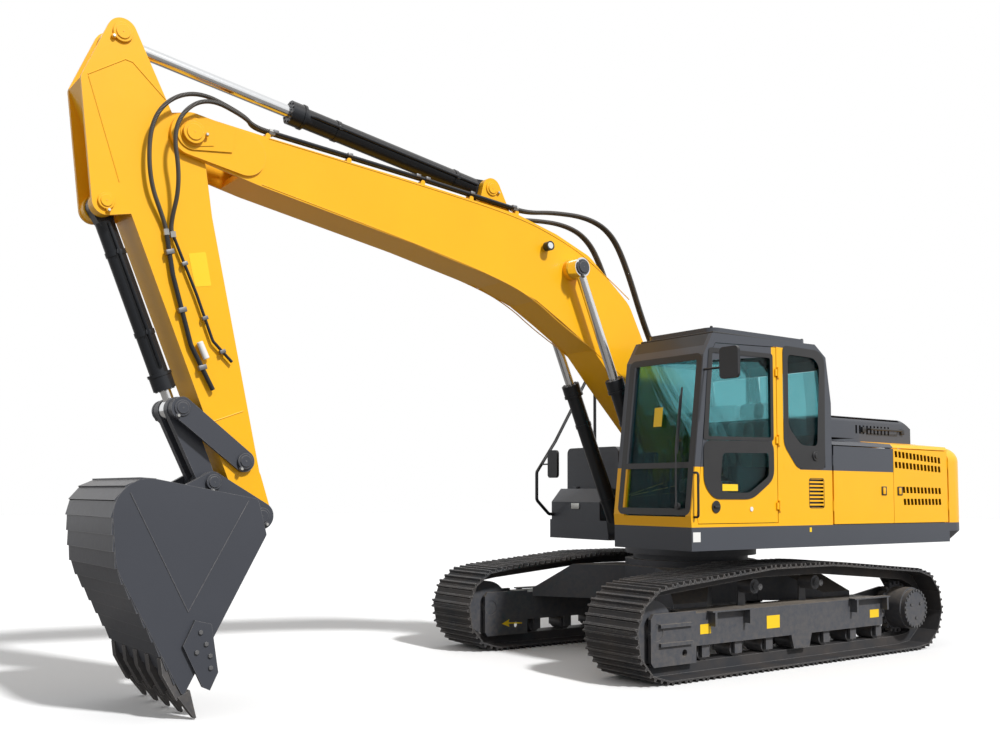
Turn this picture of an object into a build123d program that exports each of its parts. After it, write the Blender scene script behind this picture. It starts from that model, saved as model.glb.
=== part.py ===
from build123d import *
from math import atan2, cos, hypot, pi, sin
import os

# Crawler excavator, in millimetres. The origin is on the ground under the swing axis,
# x runs forward along the boom, y to the driver's left and z up.

# Tracks
gauge = 2200
shoe_width = 600
shoe_count = 46
shoe_thick = 12
grouser_height = 26
grouser_root = 30
grouser_tip = 13
grouser_spots = (0.13, 0.5, 0.87)
chain_height = 85
chain_width = 180
track_radius = 400
idler_x = 1790
sprocket_x = -1770
carrier_xs = (470, -400)
carrier_radius = 80
carrier_roller_radius = 64
carrier_z = 707
roller_count = 7
roller_front_x = 1180
roller_rear_x = -1310
roller_radius = 66

# Track frames and carbody
motor_radius = 150
idler_shaft_radius = 70
side_frame_outer = 1255
side_frame_inner = 945
side_frame_bottom = 262
side_frame_top = 530
side_frame_front = 1330
side_frame_rear = -1330
guard_plate = 30
guard_front = 1860
guard_bottom = 125
guard_top = 550
tow_hole = (1470, 215)
tow_hole_radius = 30
step_spans = ((1199, 674), (-789, -1359))
step_z = 545
step_depth = 70
step_thick = 12
chain_guard_xs = (-70,)
chain_guard_bottom = 140
guard_rib_zs = (300, 450)
carbody_bottom = 490
carbody_top = 880
carbody_half_length = 700
carbody_half_width = 560
leg_spread = 1050
leg_foot_width = 420

# Slewing ring
ring_inner_radius = 470
ring_split_radius = 560
ring_outer_radius = 640
ring_bottom = 935
ring_top = 1010

# Upper structure
house_half_width = 1364
house_bottom = 1050
skirt_top = 1245
skirt_depth = 90
deck_thick = 45
cab_front = 1494
cab_right = 470
right_front = 670
house_rear = -2385
panel_joint = -1398
cab_rear = -410
body_top = 2020
door_thick = 35
panel_gap = 6

# Boom and its foot
boom_foot = (170, 1770)
boom_nose = (5374, 4067)
boom_lift_pin = (1762, 3546)
boom_half_width = 190
boom_wall = 14
boom_lamp = (2067, 3715)
foot_pin_radius = 50
foot_plate_thick = 27
foot_plate_gap = 5

# Boom cylinders
lift_foot = (700, 1150)
lift_y = 300
lift_barrel_radius = 72
lift_rod_radius = 43
lift_barrel_length = 1550
lift_eye_radius = 88
lift_eye_width = 110
lift_pin_radius = 45

# Arm
arm_tip = (4790, 1340)
arm_rod_pin = (5876, 4694)
arm_base_pin = (2610, 4168)
bucket_base_pin = (5960, 3491)
arm_half_width = 165
arm_wall = 12

# Arm cylinder
arm_barrel_radius = 80
arm_cylinder_rod_radius = 48
arm_barrel_length = 1930
arm_eye_radius = 90
arm_eye_width = 100
arm_pin_radius = 45

# Bucket linkage
link_pin = (5400, 2101)
rocker_pin = (4924, 1737)
bucket_link_pin = (5166, 1584)
rocker_thick = 30
rocker_inner = 172
link_half_width = 160
link_hub_radius = 68
fork_inner = 56
bucket_barrel_radius = 68
bucket_rod_radius = 40
bucket_barrel_length = 1345
bucket_eye_radius = 80
bucket_eye_width = 100
bucket_pin_radius = 40

# Bucket
bucket_half_width = 530
bucket_tooth_tip = (5383, 2)
bucket_shell = 20
bucket_side = 25
bucket_ear_inner = 170
bucket_ear_thick = 40
tooth_count = 5
tooth_width = 95
side_cutter_thick = 25

# Running clearances
pin_gap = 0.1
side_gap = 5
seat_gap = 0.3
barrel_neck = 35
barrel_end_wall = 20
hinge_radius = 9
hinge_pin_radius = 4
hinge_length = 60
hinge_cap = 18

os.makedirs("parts", exist_ok=True)


def at_y(y):
    """Upright plane at that y, x forward and z up, its normal to the machine's right."""
    return Plane.XZ.offset(-y)


def hull(*circles):
    """Outline drawn tight round circles given as x, z, radius."""
    for x, z, r in circles:
        with Locations((x, z)):
            Circle(r)
    make_hull()


def disc(y_left, pin, radius, width, mode=Mode.ADD):
    """Round boss, pin or bore across the machine, from y_left towards the right."""
    with BuildSketch(at_y(y_left)) as outline:
        with Locations(pin):
            Circle(radius)
    extrude(outline.sketch, amount=width, mode=mode)


def bore(y_left, pin, radius, width):
    """Bore that clears both faces of what it goes through."""
    disc(y_left + 1, pin, radius, width + 2, mode=Mode.SUBTRACT)


def plate(y_left, width, *circles, mode=Mode.ADD):
    """Plate across y with a hull outline."""
    with BuildSketch(at_y(y_left)) as outline:
        hull(*circles)
    extrude(outline.sketch, amount=width, mode=mode)


def panel(y_left, width, points, mode=Mode.ADD):
    """Plate across y with a straight-sided outline."""
    with BuildSketch(at_y(y_left)) as outline:
        with BuildLine():
            Polyline(*points, close=True)
        make_face()
    extrude(outline.sketch, amount=width, mode=mode)


def block(low, high, mode=Mode.ADD):
    """Box between two corners."""
    middle = tuple((a + b) / 2 for a, b in zip(low, high))
    with Locations(middle):
        Box(*(b - a for a, b in zip(low, high)), mode=mode)


def tube(points, radius, bend):
    """Round tube or hose bent along corner points."""
    with BuildLine() as route:
        FilletPolyline(*points, radius=bend)
    start = Plane(origin=route.wire() @ 0, z_dir=route.wire() % 0)
    with BuildSketch(start) as ring:
        Circle(radius)
    sweep(ring.sketch, path=route.wire())


def upright(x, y, z, radius, height, mode=Mode.ADD):
    """Upright cylinder about its middle."""
    with Locations((x, y, z)):
        Cylinder(radius, height, mode=mode)


def knuckle(x, y, z):
    """Bored hinge knuckle of a door with an upright axis."""
    upright(x, y, z, hinge_radius, hinge_length)
    upright(x, y, z, hinge_pin_radius + pin_gap, hinge_length, mode=Mode.SUBTRACT)


def hinge_pin(x, y, z):
    """Fixed pin of an upright hinge with a cap at each end."""
    upright(x, y, z, hinge_pin_radius, hinge_length + 2 * hinge_cap)
    for end in (1, -1):
        upright(x, y, z + end * (hinge_length + hinge_cap) / 2 + end * seat_gap, hinge_radius, hinge_cap)


def save(builder, name):
    builder.part.label = name
    export_step(builder.part, f"parts/{name}.step")


def along(start, end, distance):
    """Point at a distance from start towards end."""
    length = hypot(end[0] - start[0], end[1] - start[1])
    return (
        start[0] + (end[0] - start[0]) * distance / length,
        start[1] + (end[1] - start[1]) * distance / length,
    )


def span(start, end):
    return hypot(end[0] - start[0], end[1] - start[1])


def tube_plane(start, end, y):
    """Plane square to the line from start to end in the upright plane at y."""
    return Plane(
        origin=(start[0], y, start[1]),
        x_dir=(0, 1, 0),
        z_dir=(end[0] - start[0], 0, end[1] - start[1]),
    )


# Track loop
def belt_path(circles):
    """Tight belt round circles given anticlockwise as x, z, radius: its lines and arcs."""
    pieces = []
    tangents = []
    for (ax, az, ar), (bx, bz, br) in zip(circles, circles[1:] + circles[:1]):
        heading = atan2(bz - az, bx - ax)
        tilt = atan2(ar - br, (hypot(bx - ax, bz - az) ** 2 - (ar - br) ** 2) ** 0.5)
        normal = heading - pi / 2 + tilt
        leave = (ax + ar * cos(normal), az + ar * sin(normal))
        arrive = (bx + br * cos(normal), bz + br * sin(normal))
        tangents.append((normal, leave, arrive))
    for i, (x, z, r) in enumerate(circles):
        start = tangents[i - 1][0]
        turn = (tangents[i][0] - start) % (2 * pi)
        pieces.append(("arc", r * turn, (x, z, r, start, turn)))
        leave, arrive = tangents[i][1:]
        pieces.append(("line", span(leave, arrive), (leave, arrive)))
    return pieces


def belt_points(circles, count):
    """Points at equal steps along the belt."""
    pieces = belt_path(circles)
    step = sum(length for _, length, _ in pieces) / count
    points = []
    for i in range(count):
        rest = i * step
        for kind, length, data in pieces:
            if rest <= length:
                break
            rest -= length
        if kind == "arc":
            x, z, r, start, turn = data
            angle = start + rest / r
            points.append((x + r * cos(angle), z + r * sin(angle)))
        else:
            points.append(along(data[0], data[1], rest))
    return points


def belt_circles(depth):
    """Belt circles at a depth under the shoes' outer face."""
    wheel = track_radius - grouser_height - depth
    carrier = carrier_radius + chain_height + shoe_thick - depth
    return [
        (idler_x, track_radius, wheel),
        (carrier_xs[0], carrier_z, carrier),
        (carrier_xs[1], carrier_z, carrier),
        (sprocket_x, track_radius, wheel),
    ]


def shoe_outline():
    """Outer outline of the loop with three grousers on each shoe."""
    corners = belt_points(belt_circles(0), shoe_count)
    outline = []
    for a, b in zip(corners, corners[1:] + corners[:1]):
        length = span(a, b)
        ux, uz = (b[0] - a[0]) / length, (b[1] - a[1]) / length
        nx, nz = uz, -ux
        outline.append(a)
        for spot in grouser_spots:
            for shift, rise in (
                (-grouser_root / 2, 0),
                (-grouser_tip / 2, grouser_height),
                (grouser_tip / 2, grouser_height),
                (grouser_root / 2, 0),
            ):
                s = spot * length + shift
                outline.append((a[0] + ux * s + nx * rise, a[1] + uz * s + nz * rise))
    return outline


def belt_outline(depth):
    return belt_points(belt_circles(depth), shoe_count)


for name, side in (("left", 1), ("right", -1)):
    centre = side * gauge / 2
    with BuildPart() as track:
        with BuildSketch(at_y(centre)):
            with BuildLine():
                Polyline(*shoe_outline(), close=True)
            make_face()
            with BuildLine():
                Polyline(*belt_outline(shoe_thick), close=True)
            make_face(mode=Mode.SUBTRACT)
        extrude(amount=shoe_width / 2, both=True)
        with BuildSketch(at_y(centre)):
            with BuildLine():
                Polyline(*belt_outline(shoe_thick), close=True)
            make_face()
            with BuildLine():
                Polyline(*belt_outline(shoe_thick + chain_height), close=True)
            make_face(mode=Mode.SUBTRACT)
        extrude(amount=chain_width / 2, both=True)
    save(track, f"track_{name}")

wheel_radius = 256
rail_z = grouser_height + shoe_thick + chain_height
roller_z = rail_z + roller_radius + seat_gap
roller_step = (roller_front_x - roller_rear_x) / (roller_count - 1)
roller_xs = [roller_front_x - i * roller_step for i in range(roller_count)]

# Idlers, sprockets, travel motors
with BuildPart() as idlers:
    for side in (1, -1):
        y = side * gauge / 2 + chain_width / 2
        disc(y, (idler_x, track_radius), wheel_radius, chain_width)
        disc(y + 60, (idler_x, track_radius), idler_shaft_radius, chain_width + 120)
save(idlers, "front_idlers")

with BuildPart() as sprockets:
    for side in (1, -1):
        y = side * gauge / 2 + 30
        with BuildSketch(at_y(y)):
            with Locations((sprocket_x, track_radius)):
                Circle(wheel_radius - 35)
                with PolarLocations(wheel_radius - 36, 21):
                    Rectangle(70, 30)
        extrude(amount=60)
save(sprockets, "drive_sprockets")

with BuildPart() as motors:
    for side in (1, -1):
        for start, width, radius in (
            (30 + seat_gap, 165, 205),
            (195 + seat_gap, 45, 190),
            (-30 - seat_gap, -150, motor_radius),
        ):
            y = side * (gauge / 2 + start)
            with BuildSketch(at_y(y)):
                with Locations((sprocket_x, track_radius)):
                    Circle(radius)
            extrude(amount=-side * width)
save(motors, "travel_motors")

with BuildPart() as rollers:
    for side in (1, -1):
        middle = side * gauge / 2
        for x in roller_xs:
            disc(middle + 85, (x, roller_z), roller_radius, 170)
            disc(middle + 125, (x, roller_z), 30, 250)
            for y in (middle + 125, middle - 100):
                panel(
                    y,
                    25,
                    [
                        (x - 45, roller_z - 35),
                        (x + 45, roller_z - 35),
                        (x + 45, side_frame_bottom),
                        (x - 45, side_frame_bottom),
                    ],
                )
        for x in carrier_xs:
            disc(middle + 70, (x, carrier_z), carrier_roller_radius, 140)
            disc(middle + 85, (x, carrier_z), 35, 170)
            panel(
                middle - 75,
                20,
                [
                    (x - 50, side_frame_top),
                    (x + 50, side_frame_top),
                    (x + 40, carrier_z + 30),
                    (x - 40, carrier_z + 30),
                ],
            )
save(rollers, "track_rollers")

# Track frames
for name, side in (("left", 1), ("right", -1)):
    low_y = min(side * side_frame_inner, side * side_frame_outer)
    high_y = max(side * side_frame_inner, side * side_frame_outer)
    with BuildPart() as frame:
        block(
            (side_frame_rear, low_y, side_frame_bottom),
            (side_frame_front, high_y, side_frame_top),
        )
        block(
            (side_frame_rear + 20, low_y + 20, side_frame_bottom + 16),
            (side_frame_front - 20, high_y - 20, side_frame_top - 16),
            mode=Mode.SUBTRACT,
        )
        for y in (high_y, low_y + guard_plate):
            panel(
                y,
                guard_plate,
                [
                    (side_frame_front, guard_bottom),
                    (guard_front - 30, guard_bottom),
                    (guard_front, guard_bottom + 40),
                    (guard_front, guard_top - 40),
                    (guard_front - 30, guard_top),
                    (side_frame_front, guard_top),
                ],
            )
        motor_side = high_y if side < 0 else low_y + guard_plate
        plate(
            motor_side,
            guard_plate,
            (sprocket_x, track_radius, 190),
            (side_frame_rear, side_frame_bottom + 60, 60),
            (side_frame_rear, side_frame_top - 60, 60),
        )
        bore(motor_side, (sprocket_x, track_radius), motor_radius + seat_gap, guard_plate)
        outer_face = side * side_frame_outer
        for front, rear in step_spans:
            ys = sorted((outer_face, outer_face + side * step_depth))
            block((rear, ys[0], step_z - step_thick), (front, ys[1], step_z))
            for x in (front - 40, rear + 40):
                block((x - 12, ys[0], step_z - 130), (x + 12, ys[1], step_z - step_thick))
        for x in chain_guard_xs:
            for y in (high_y, low_y + guard_plate):
                panel(
                    y,
                    guard_plate,
                    [
                        (x - 150, side_frame_bottom + 10),
                        (x - 110, chain_guard_bottom),
                        (x + 110, chain_guard_bottom),
                        (x + 150, side_frame_bottom + 10),
                    ],
                )
        for rib_z in guard_rib_zs:
            ys = sorted((outer_face, outer_face + side * 25))
            block((side_frame_front + 60, ys[0], rib_z - 14), (guard_front - 90, ys[1], rib_z + 14))
        for y in (high_y, low_y + guard_plate):
            bore(y, (idler_x, track_radius), idler_shaft_radius + seat_gap, guard_plate)
            bore(y, tow_hole, tow_hole_radius, guard_plate)
    save(frame, f"track_frame_{name}")

# Carbody: centre box with four legs down to the track frames
with BuildPart() as carbody:
    block(
        (-carbody_half_length, -carbody_half_width, carbody_bottom),
        (carbody_half_length, carbody_half_width, carbody_top - 60),
    )
    for end in (1, -1):
        for side in (1, -1):
            with BuildSketch(Plane.XY.offset(carbody_bottom)):
                with BuildLine():
                    Polyline(
                        (end * 250, side * (carbody_half_width - 60)),
                        (end * carbody_half_length, side * 200),
                        (end * (leg_spread + leg_foot_width / 2), side * side_frame_inner),
                        (end * (leg_spread - leg_foot_width / 2), side * side_frame_inner),
                        close=True,
                    )
                make_face()
            extrude(amount=carbody_top - 60 - carbody_bottom)
    for side in (1, -1):
        with BuildSketch(Plane.YZ.offset(-2000)):
            with BuildLine():
                Polyline(
                    (side * (carbody_half_width - 20), carbody_top),
                    (side * side_frame_inner, side_frame_top + 40),
                    (side * (side_frame_inner + 10), carbody_top),
                    close=True,
                )
            make_face()
        extrude(amount=4000, mode=Mode.SUBTRACT)
    with BuildSketch(Plane.XY.offset(carbody_top - 61)):
        Circle(ring_outer_radius)
    extrude(amount=61)
    with BuildSketch(Plane.XY.offset(carbody_bottom)):
        Circle(ring_inner_radius - 60)
    extrude(amount=carbody_top - carbody_bottom - 30, mode=Mode.SUBTRACT)
save(carbody, "carbody")

with BuildPart() as bearing:
    with BuildSketch(Plane.XY.offset(carbody_top)):
        Circle(ring_split_radius)
        Circle(ring_inner_radius, mode=Mode.SUBTRACT)
    extrude(amount=ring_top - carbody_top)
save(bearing, "slew_bearing")

# Revolving frame: deck, swing ring, boom foot plates
deck_top = house_bottom + deck_thick
foot_plate_inner = boom_half_width + foot_plate_gap
foot_plate_outer = foot_plate_inner + foot_plate_thick
with BuildPart() as revolving:
    with BuildSketch(Plane.XY.offset(house_bottom)):
        with BuildLine():
            Polyline(
                (house_rear, -house_half_width + skirt_depth),
                (right_front - 12, -house_half_width + skirt_depth),
                (right_front - 12, -cab_right),
                (500, -foot_plate_outer - 180),
                (500, foot_plate_outer + 180),
                (cab_front - 90, cab_right),
                (cab_front - 90, house_half_width - skirt_depth),
                (house_rear, house_half_width - skirt_depth),
                close=True,
            )
        make_face()
    extrude(amount=deck_thick)
    with BuildSketch(Plane.XY.offset(ring_bottom)):
        Circle(ring_outer_radius)
        Circle(ring_split_radius + 0.5, mode=Mode.SUBTRACT)
    extrude(amount=house_bottom - ring_bottom)
    for side in (1, -1):
        y = foot_plate_outer if side > 0 else -foot_plate_inner
        plate(
            y,
            foot_plate_thick,
            (boom_foot[0], boom_foot[1], 170),
            (lift_foot[0], lift_foot[1], 98),
            (-900, deck_top + 200, 60),
            (-900, house_bottom + 60, 60),
        )
    for y in (foot_plate_outer + 60, -foot_plate_outer):
        disc(y, boom_foot, 110, 60)
    disc(foot_plate_outer + 60, boom_foot, foot_pin_radius, 2 * (foot_plate_outer + 60))
    stub_end = lift_y + lift_eye_width / 2 + 12
    for y in (stub_end, -foot_plate_inner):
        disc(y, lift_foot, lift_pin_radius, stub_end - foot_plate_inner)
save(revolving, "revolving_frame")

# Skirts: closed side beams round the deck
with BuildPart() as skirts:
    block(
        (house_rear, house_half_width - skirt_depth, house_bottom),
        (cab_front, house_half_width, skirt_top),
    )
    block(
        (cab_front - 90, cab_right, house_bottom),
        (cab_front, house_half_width - skirt_depth, skirt_top),
    )
    block(
        (house_rear, -house_half_width, house_bottom),
        (right_front, -house_half_width + skirt_depth, skirt_top),
    )
    block(
        (right_front - 12, -house_half_width + skirt_depth, house_bottom),
        (right_front, -cab_right, skirt_top),
    )
save(skirts, "side_skirts")

# Counterweight
counterweight_rear = -2930
counterweight_shoulder = -2690
lifting_eye = (-2640, 2075)
lifting_eye_y = 560
lifting_hole_radius = 27
counterweight_front = house_rear - seat_gap
with BuildPart() as counterweight:
    with BuildSketch(Plane.XY.offset(house_bottom)) as plan:
        with BuildLine():
            Polyline(
                (counterweight_shoulder, -house_half_width),
                (counterweight_front, -house_half_width),
                (counterweight_front, house_half_width),
                (counterweight_shoulder, house_half_width),
            )
            ThreePointArc(
                (counterweight_shoulder, house_half_width),
                (counterweight_rear, 0),
                (counterweight_shoulder, -house_half_width),
            )
        make_face()
        fillet(plan.vertices().group_by(Axis.X)[0], 260)
    extrude(amount=body_top - house_bottom)
    top_rim = counterweight.faces().sort_by(Axis.Z)[-1].edges()
    fillet(top_rim.filter_by(lambda e: e.center().X < counterweight_front - 5), 150)
    low_rim = counterweight.faces().sort_by(Axis.Z)[0].edges()
    chamfer(low_rim.filter_by(lambda e: e.center().X < counterweight_front - 5), 110)
    for y in (lifting_eye_y + 40, -lifting_eye_y):
        plate(y, 40, (*lifting_eye, 60), (lifting_eye[0], body_top - 60, 90))
        bore(y, lifting_eye, lifting_hole_radius, 40)
save(counterweight, "counterweight")

with BuildPart() as engine:
    block((-2250, -560, deck_top), (-1500, 420, 1900))
save(engine, "engine_block")

# Tanks on the right, toolbox in front of them
right_outer = -house_half_width + 22
tank_inner = -560
tank_front = 440
tank_split = -470
tank_top = 2010
toolbox_top = 1560
toolbox_nose = 1420
lid_hinge = (tank_front + 16, 1586)
lid_thick = 12
lid_hinge_ys = (-740, -1200)
with BuildPart() as fuel:
    block((tank_split + 5, right_outer, skirt_top), (tank_front, tank_inner, tank_top))
    fillet(fuel.edges().filter_by(Axis.X).group_by(Axis.Z)[-1], 60)
    for y in lid_hinge_ys:
        span_half = hinge_length / 2 + seat_gap
        disc(y + span_half + hinge_cap, lid_hinge, hinge_pin_radius, 2 * (span_half + hinge_cap))
        for low_y in (y + span_half, y - span_half - hinge_cap):
            block(
                (tank_front - 2, low_y, lid_hinge[1] - hinge_radius),
                (lid_hinge[0], low_y + hinge_cap, lid_hinge[1] + hinge_radius),
            )
save(fuel, "fuel_tank")
with BuildPart() as hydraulic:
    block((panel_joint + 4, right_outer, skirt_top), (tank_split - 5, tank_inner, tank_top))
    fillet(hydraulic.edges().filter_by(Axis.X).group_by(Axis.Z)[-1], 60)
save(hydraulic, "hydraulic_tank")

toolbox_profile = [
    (tank_front + 8, skirt_top),
    (right_front - 4, skirt_top),
    (right_front - 4, toolbox_nose),
    (tank_front + 90, toolbox_top),
    (tank_front + 8, toolbox_top),
]
with BuildPart() as toolbox:
    panel(-600, -right_outer - 600, toolbox_profile)
    panel(-620, -right_outer - 640, [
        (tank_front + 28, skirt_top + 20),
        (right_front - 24, skirt_top + 20),
        (right_front - 24, toolbox_top + 40),
        (tank_front + 28, toolbox_top + 40),
    ], mode=Mode.SUBTRACT)
save(toolbox, "toolbox")
with BuildPart() as lid:
    panel(-600, -right_outer - 600, [
        (right_front - 4, toolbox_nose + seat_gap),
        (right_front - 4, toolbox_nose + seat_gap + lid_thick),
        (tank_front + 95, toolbox_top + seat_gap + lid_thick),
        (lid_hinge[0] + 0.2, toolbox_top + seat_gap + lid_thick),
        (lid_hinge[0] + 0.2, toolbox_top + seat_gap),
        (tank_front + 90, toolbox_top + seat_gap),
    ])
    for y in lid_hinge_ys:
        disc(y + hinge_length / 2, lid_hinge, hinge_radius, hinge_length)
        block(
            (lid_hinge[0] + 0.2, y - hinge_length / 2, 1566),
            (lid_hinge[0] + 12, y + hinge_length / 2, lid_hinge[1]),
        )
        bore(y + hinge_length / 2, lid_hinge, hinge_pin_radius + pin_gap, hinge_length)
save(lid, "toolbox_lid")

# Covers above the side doors, with the top plate, the door posts and the bulkhead
cover_inner = 1010
hood_front = -905
hood_rear = -2300
hood_left = 1005
hood_right = -760
hood_top = 2310
top_plate = 2060
hood_base = top_plate + seat_gap
hood_hinge = (-893, 2069)
hood_hinge_ys = (-500, 700)
post_depth = 40
door_gap = 24
post_face = house_half_width - door_thick - seat_gap
front_hinge_x = cab_rear - door_gap / 2
rear_hinge_x = house_rear + door_gap / 2
pump_hinge_x = panel_joint - door_gap / 2 + 4
hinge_y = house_half_width + 2
door_hinge_zs = (1420, 1840)
with BuildPart() as covers:
    for side in (1, -1):
        outline = [
            (side * house_half_width, 1985),
            (side * (house_half_width - 30), body_top),
            (side * (cover_inner - 20), top_plate),
            (side * (cover_inner - 20), top_plate - 20),
            (side * (house_half_width - 45), body_top - 18),
            (side * (house_half_width - 14), 1980),
        ]
        front = cab_rear - 10 if side > 0 else panel_joint + 4
        with BuildSketch(Plane.YZ.offset(house_rear + 2)):
            with BuildLine():
                Polyline(*outline, close=True)
            make_face()
        extrude(amount=front - house_rear - 2)
    block((house_rear + 2, -cover_inner, top_plate - 20), (panel_joint + 4, cover_inner, top_plate))
    block(
        (panel_joint, tank_inner + 5, top_plate - 20),
        (cab_rear - 10, cover_inner, top_plate),
    )
    block(
        (hood_rear + 30, hood_right + 30, top_plate - 25),
        (hood_front - 30, hood_left - 30, top_plate + 5),
        mode=Mode.SUBTRACT,
    )
    left_posts = (
        (cab_rear - door_gap - 20, cab_rear - 5),
        (panel_joint - 20, panel_joint + 20),
        (house_rear + 2, house_rear + door_gap + 20),
    )
    right_posts = ((panel_joint - 40, panel_joint + 2), (house_rear + 2, house_rear + 40))
    for side, posts in ((1, left_posts), (-1, right_posts)):
        for low_x, high_x in posts:
            ys = sorted((side * post_face, side * (post_face - post_depth)))
            block((low_x, ys[0], skirt_top), (high_x, ys[1], body_top - 12))
    block(
        (cab_rear - 35, tank_inner + 5, deck_top),
        (cab_rear - 20, post_face - post_depth - 20, top_plate - 10),
    )
    for y in (foot_plate_outer + 5, -foot_plate_inner + 5):
        block(
            (cab_rear - 40, y - foot_plate_thick - 10, deck_top - 1),
            (cab_rear - 15, y, 1680),
            mode=Mode.SUBTRACT,
        )
    for x, side in ((front_hinge_x, 1), (rear_hinge_x, 1), (pump_hinge_x, -1)):
        for z in door_hinge_zs:
            hinge_pin(x, side * hinge_y, z)
            for end in (1, -1):
                middle = z + end * ((hinge_length + hinge_cap) / 2 + seat_gap)
                ys = sorted((side * (post_face - 5), side * hinge_y))
                block((x - 7, ys[0], middle - hinge_cap / 2), (x + 7, ys[1], middle + hinge_cap / 2))
    for y in hood_hinge_ys:
        reach = hinge_length / 2 + seat_gap
        disc(y + reach + hinge_cap, hood_hinge, hinge_pin_radius, 2 * (reach + hinge_cap))
        for low_y in (y + reach, y - reach - hinge_cap):
            block(
                (hood_front + 1, low_y, top_plate - 10),
                (hood_hinge[0], low_y + hinge_cap, hood_hinge[1]),
            )
            disc(low_y + hinge_cap, hood_hinge, hinge_radius, hinge_cap)
    notch = hinge_length + 2 * seat_gap
    for y in hood_hinge_ys:
        block(
            (hood_front - 4, y - notch / 2, top_plate - 30),
            (hood_hinge[0] + 20, y + notch / 2, top_plate + 1),
            mode=Mode.SUBTRACT,
        )
        disc(y + notch / 2, hood_hinge, hinge_pin_radius, notch)
save(covers, "side_covers")

# Hood over the engine, hinged at its front edge
hood_wall = 8
hood_slot_xs = [-1340 - 62 * i for i in range(14)]
with BuildPart() as hood:
    block((hood_rear, hood_right, hood_base), (hood_front, hood_left, hood_top))
    chamfer(hood.edges().filter_by(Axis.Y).group_by(Axis.Z)[-1].sort_by(Axis.X)[0], 90, 170)
    fillet(hood.edges().filter_by(Axis.X).group_by(Axis.Z)[-1], 55)
    block(
        (hood_rear + 190, hood_right + hood_wall, hood_base - 1),
        (hood_front - hood_wall, hood_left - hood_wall, hood_top - hood_wall),
        mode=Mode.SUBTRACT,
    )
    block(
        (hood_rear + hood_wall, hood_right + hood_wall, hood_base - 1),
        (hood_rear + 191, hood_left - hood_wall, hood_top - 120),
        mode=Mode.SUBTRACT,
    )
    for x in hood_slot_xs[:-3]:
        for low_y, high_y in ((-600, -60), (180, 850)):
            block((x - 16, low_y, hood_top - 20), (x + 16, high_y, hood_top + 1), mode=Mode.SUBTRACT)
    for x in hood_slot_xs[:-4]:
        block((x - 14, hood_left - 20, 2140), (x + 14, hood_left + 1, 2225), mode=Mode.SUBTRACT)
    for y in hood_hinge_ys:
        disc(y + hinge_length / 2, hood_hinge, hinge_radius, hinge_length)
        block(
            (hood_front - 1, y - hinge_length / 2, hood_base + 2),
            (hood_hinge[0], y + hinge_length / 2, hood_hinge[1] + hinge_radius),
        )
        bore(y + hinge_length / 2, hood_hinge, hinge_pin_radius + pin_gap, hinge_length)
save(hood, "hood")

# Side doors, thin boxes open towards the engine bay
door_low = skirt_top + panel_gap
door_high = 1975


def side_door(front, rear, outer, side):
    inner = outer - side * door_thick
    block(
        (rear, min(inner, outer), door_low),
        (front, max(inner, outer), door_high),
    )
    skin = outer - side * 4
    block(
        (rear + 20, min(inner, skin), door_low + 20),
        (front - 20, max(inner, skin), door_high - 20),
        mode=Mode.SUBTRACT,
    )


def door_knuckles(x, edge, side):
    """Knuckles joined to the door's edge by short webs."""
    for z in door_hinge_zs:
        ys = sorted((side * (house_half_width - 12), side * hinge_y))
        low_x, high_x = sorted((x, edge))
        block(
            (low_x, ys[0], z - hinge_length / 2),
            (high_x, ys[1], z + hinge_length / 2),
        )
        knuckle(x, side * hinge_y, z)


def slot_row(front, low_front, low_rear, count, height, side):
    """Row of leaning cooling slots through a door's skin, from the front slot backwards."""
    pitch = (front - rear_slot_end) / count
    rise = (low_rear - low_front) / count
    skin = side * house_half_width
    for i in range(count):
        x = front - (i + 0.5) * pitch
        z = low_front + (i + 0.5) * rise
        with BuildSketch(at_y(skin + 1 if side > 0 else skin + 6)) as slot:
            with BuildLine():
                Polyline(
                    (x - slot_width / 2, z),
                    (x + slot_width / 2, z),
                    (x + slot_width / 2 + 8, z + height),
                    (x - slot_width / 2 + 8, z + height),
                    close=True,
                )
            make_face()
        extrude(slot.sketch, amount=7, mode=Mode.SUBTRACT)


slot_width = 42
rear_slot_end = -2250
slot_rows = (
    (-1420, 1895, 1845, 13, 62),
    (-1420, 1790, 1755, 13, 62),
    (-1480, 1545, 1535, 12, 62),
    (-1560, 1425, 1425, 11, 62),
)
vent_front = -65
vent_rear = -275


with BuildPart() as front_door:
    side_door(cab_rear - door_gap, panel_joint + 3, house_half_width, 1)
    door_knuckles(front_hinge_x, cab_rear - door_gap - 1, 1)
save(front_door, "left_front_door")
with BuildPart() as rear_door:
    side_door(panel_joint - 3, house_rear + door_gap, house_half_width, 1)
    for front, low_front, low_rear, count, height in slot_rows:
        slot_row(front, low_front, low_rear, count, height, 1)
    door_knuckles(rear_hinge_x, house_rear + door_gap + 1, 1)
save(rear_door, "left_rear_door")
with BuildPart() as pump:
    side_door(panel_joint + 4 - door_gap, house_rear + 6, -house_half_width, -1)
    for front, low_front, low_rear, count, height in slot_rows[:2]:
        slot_row(front, low_front, low_rear, count, height, -1)
    door_knuckles(pump_hinge_x, panel_joint + 3 - door_gap, -1)
save(pump, "pump_door")

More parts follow.
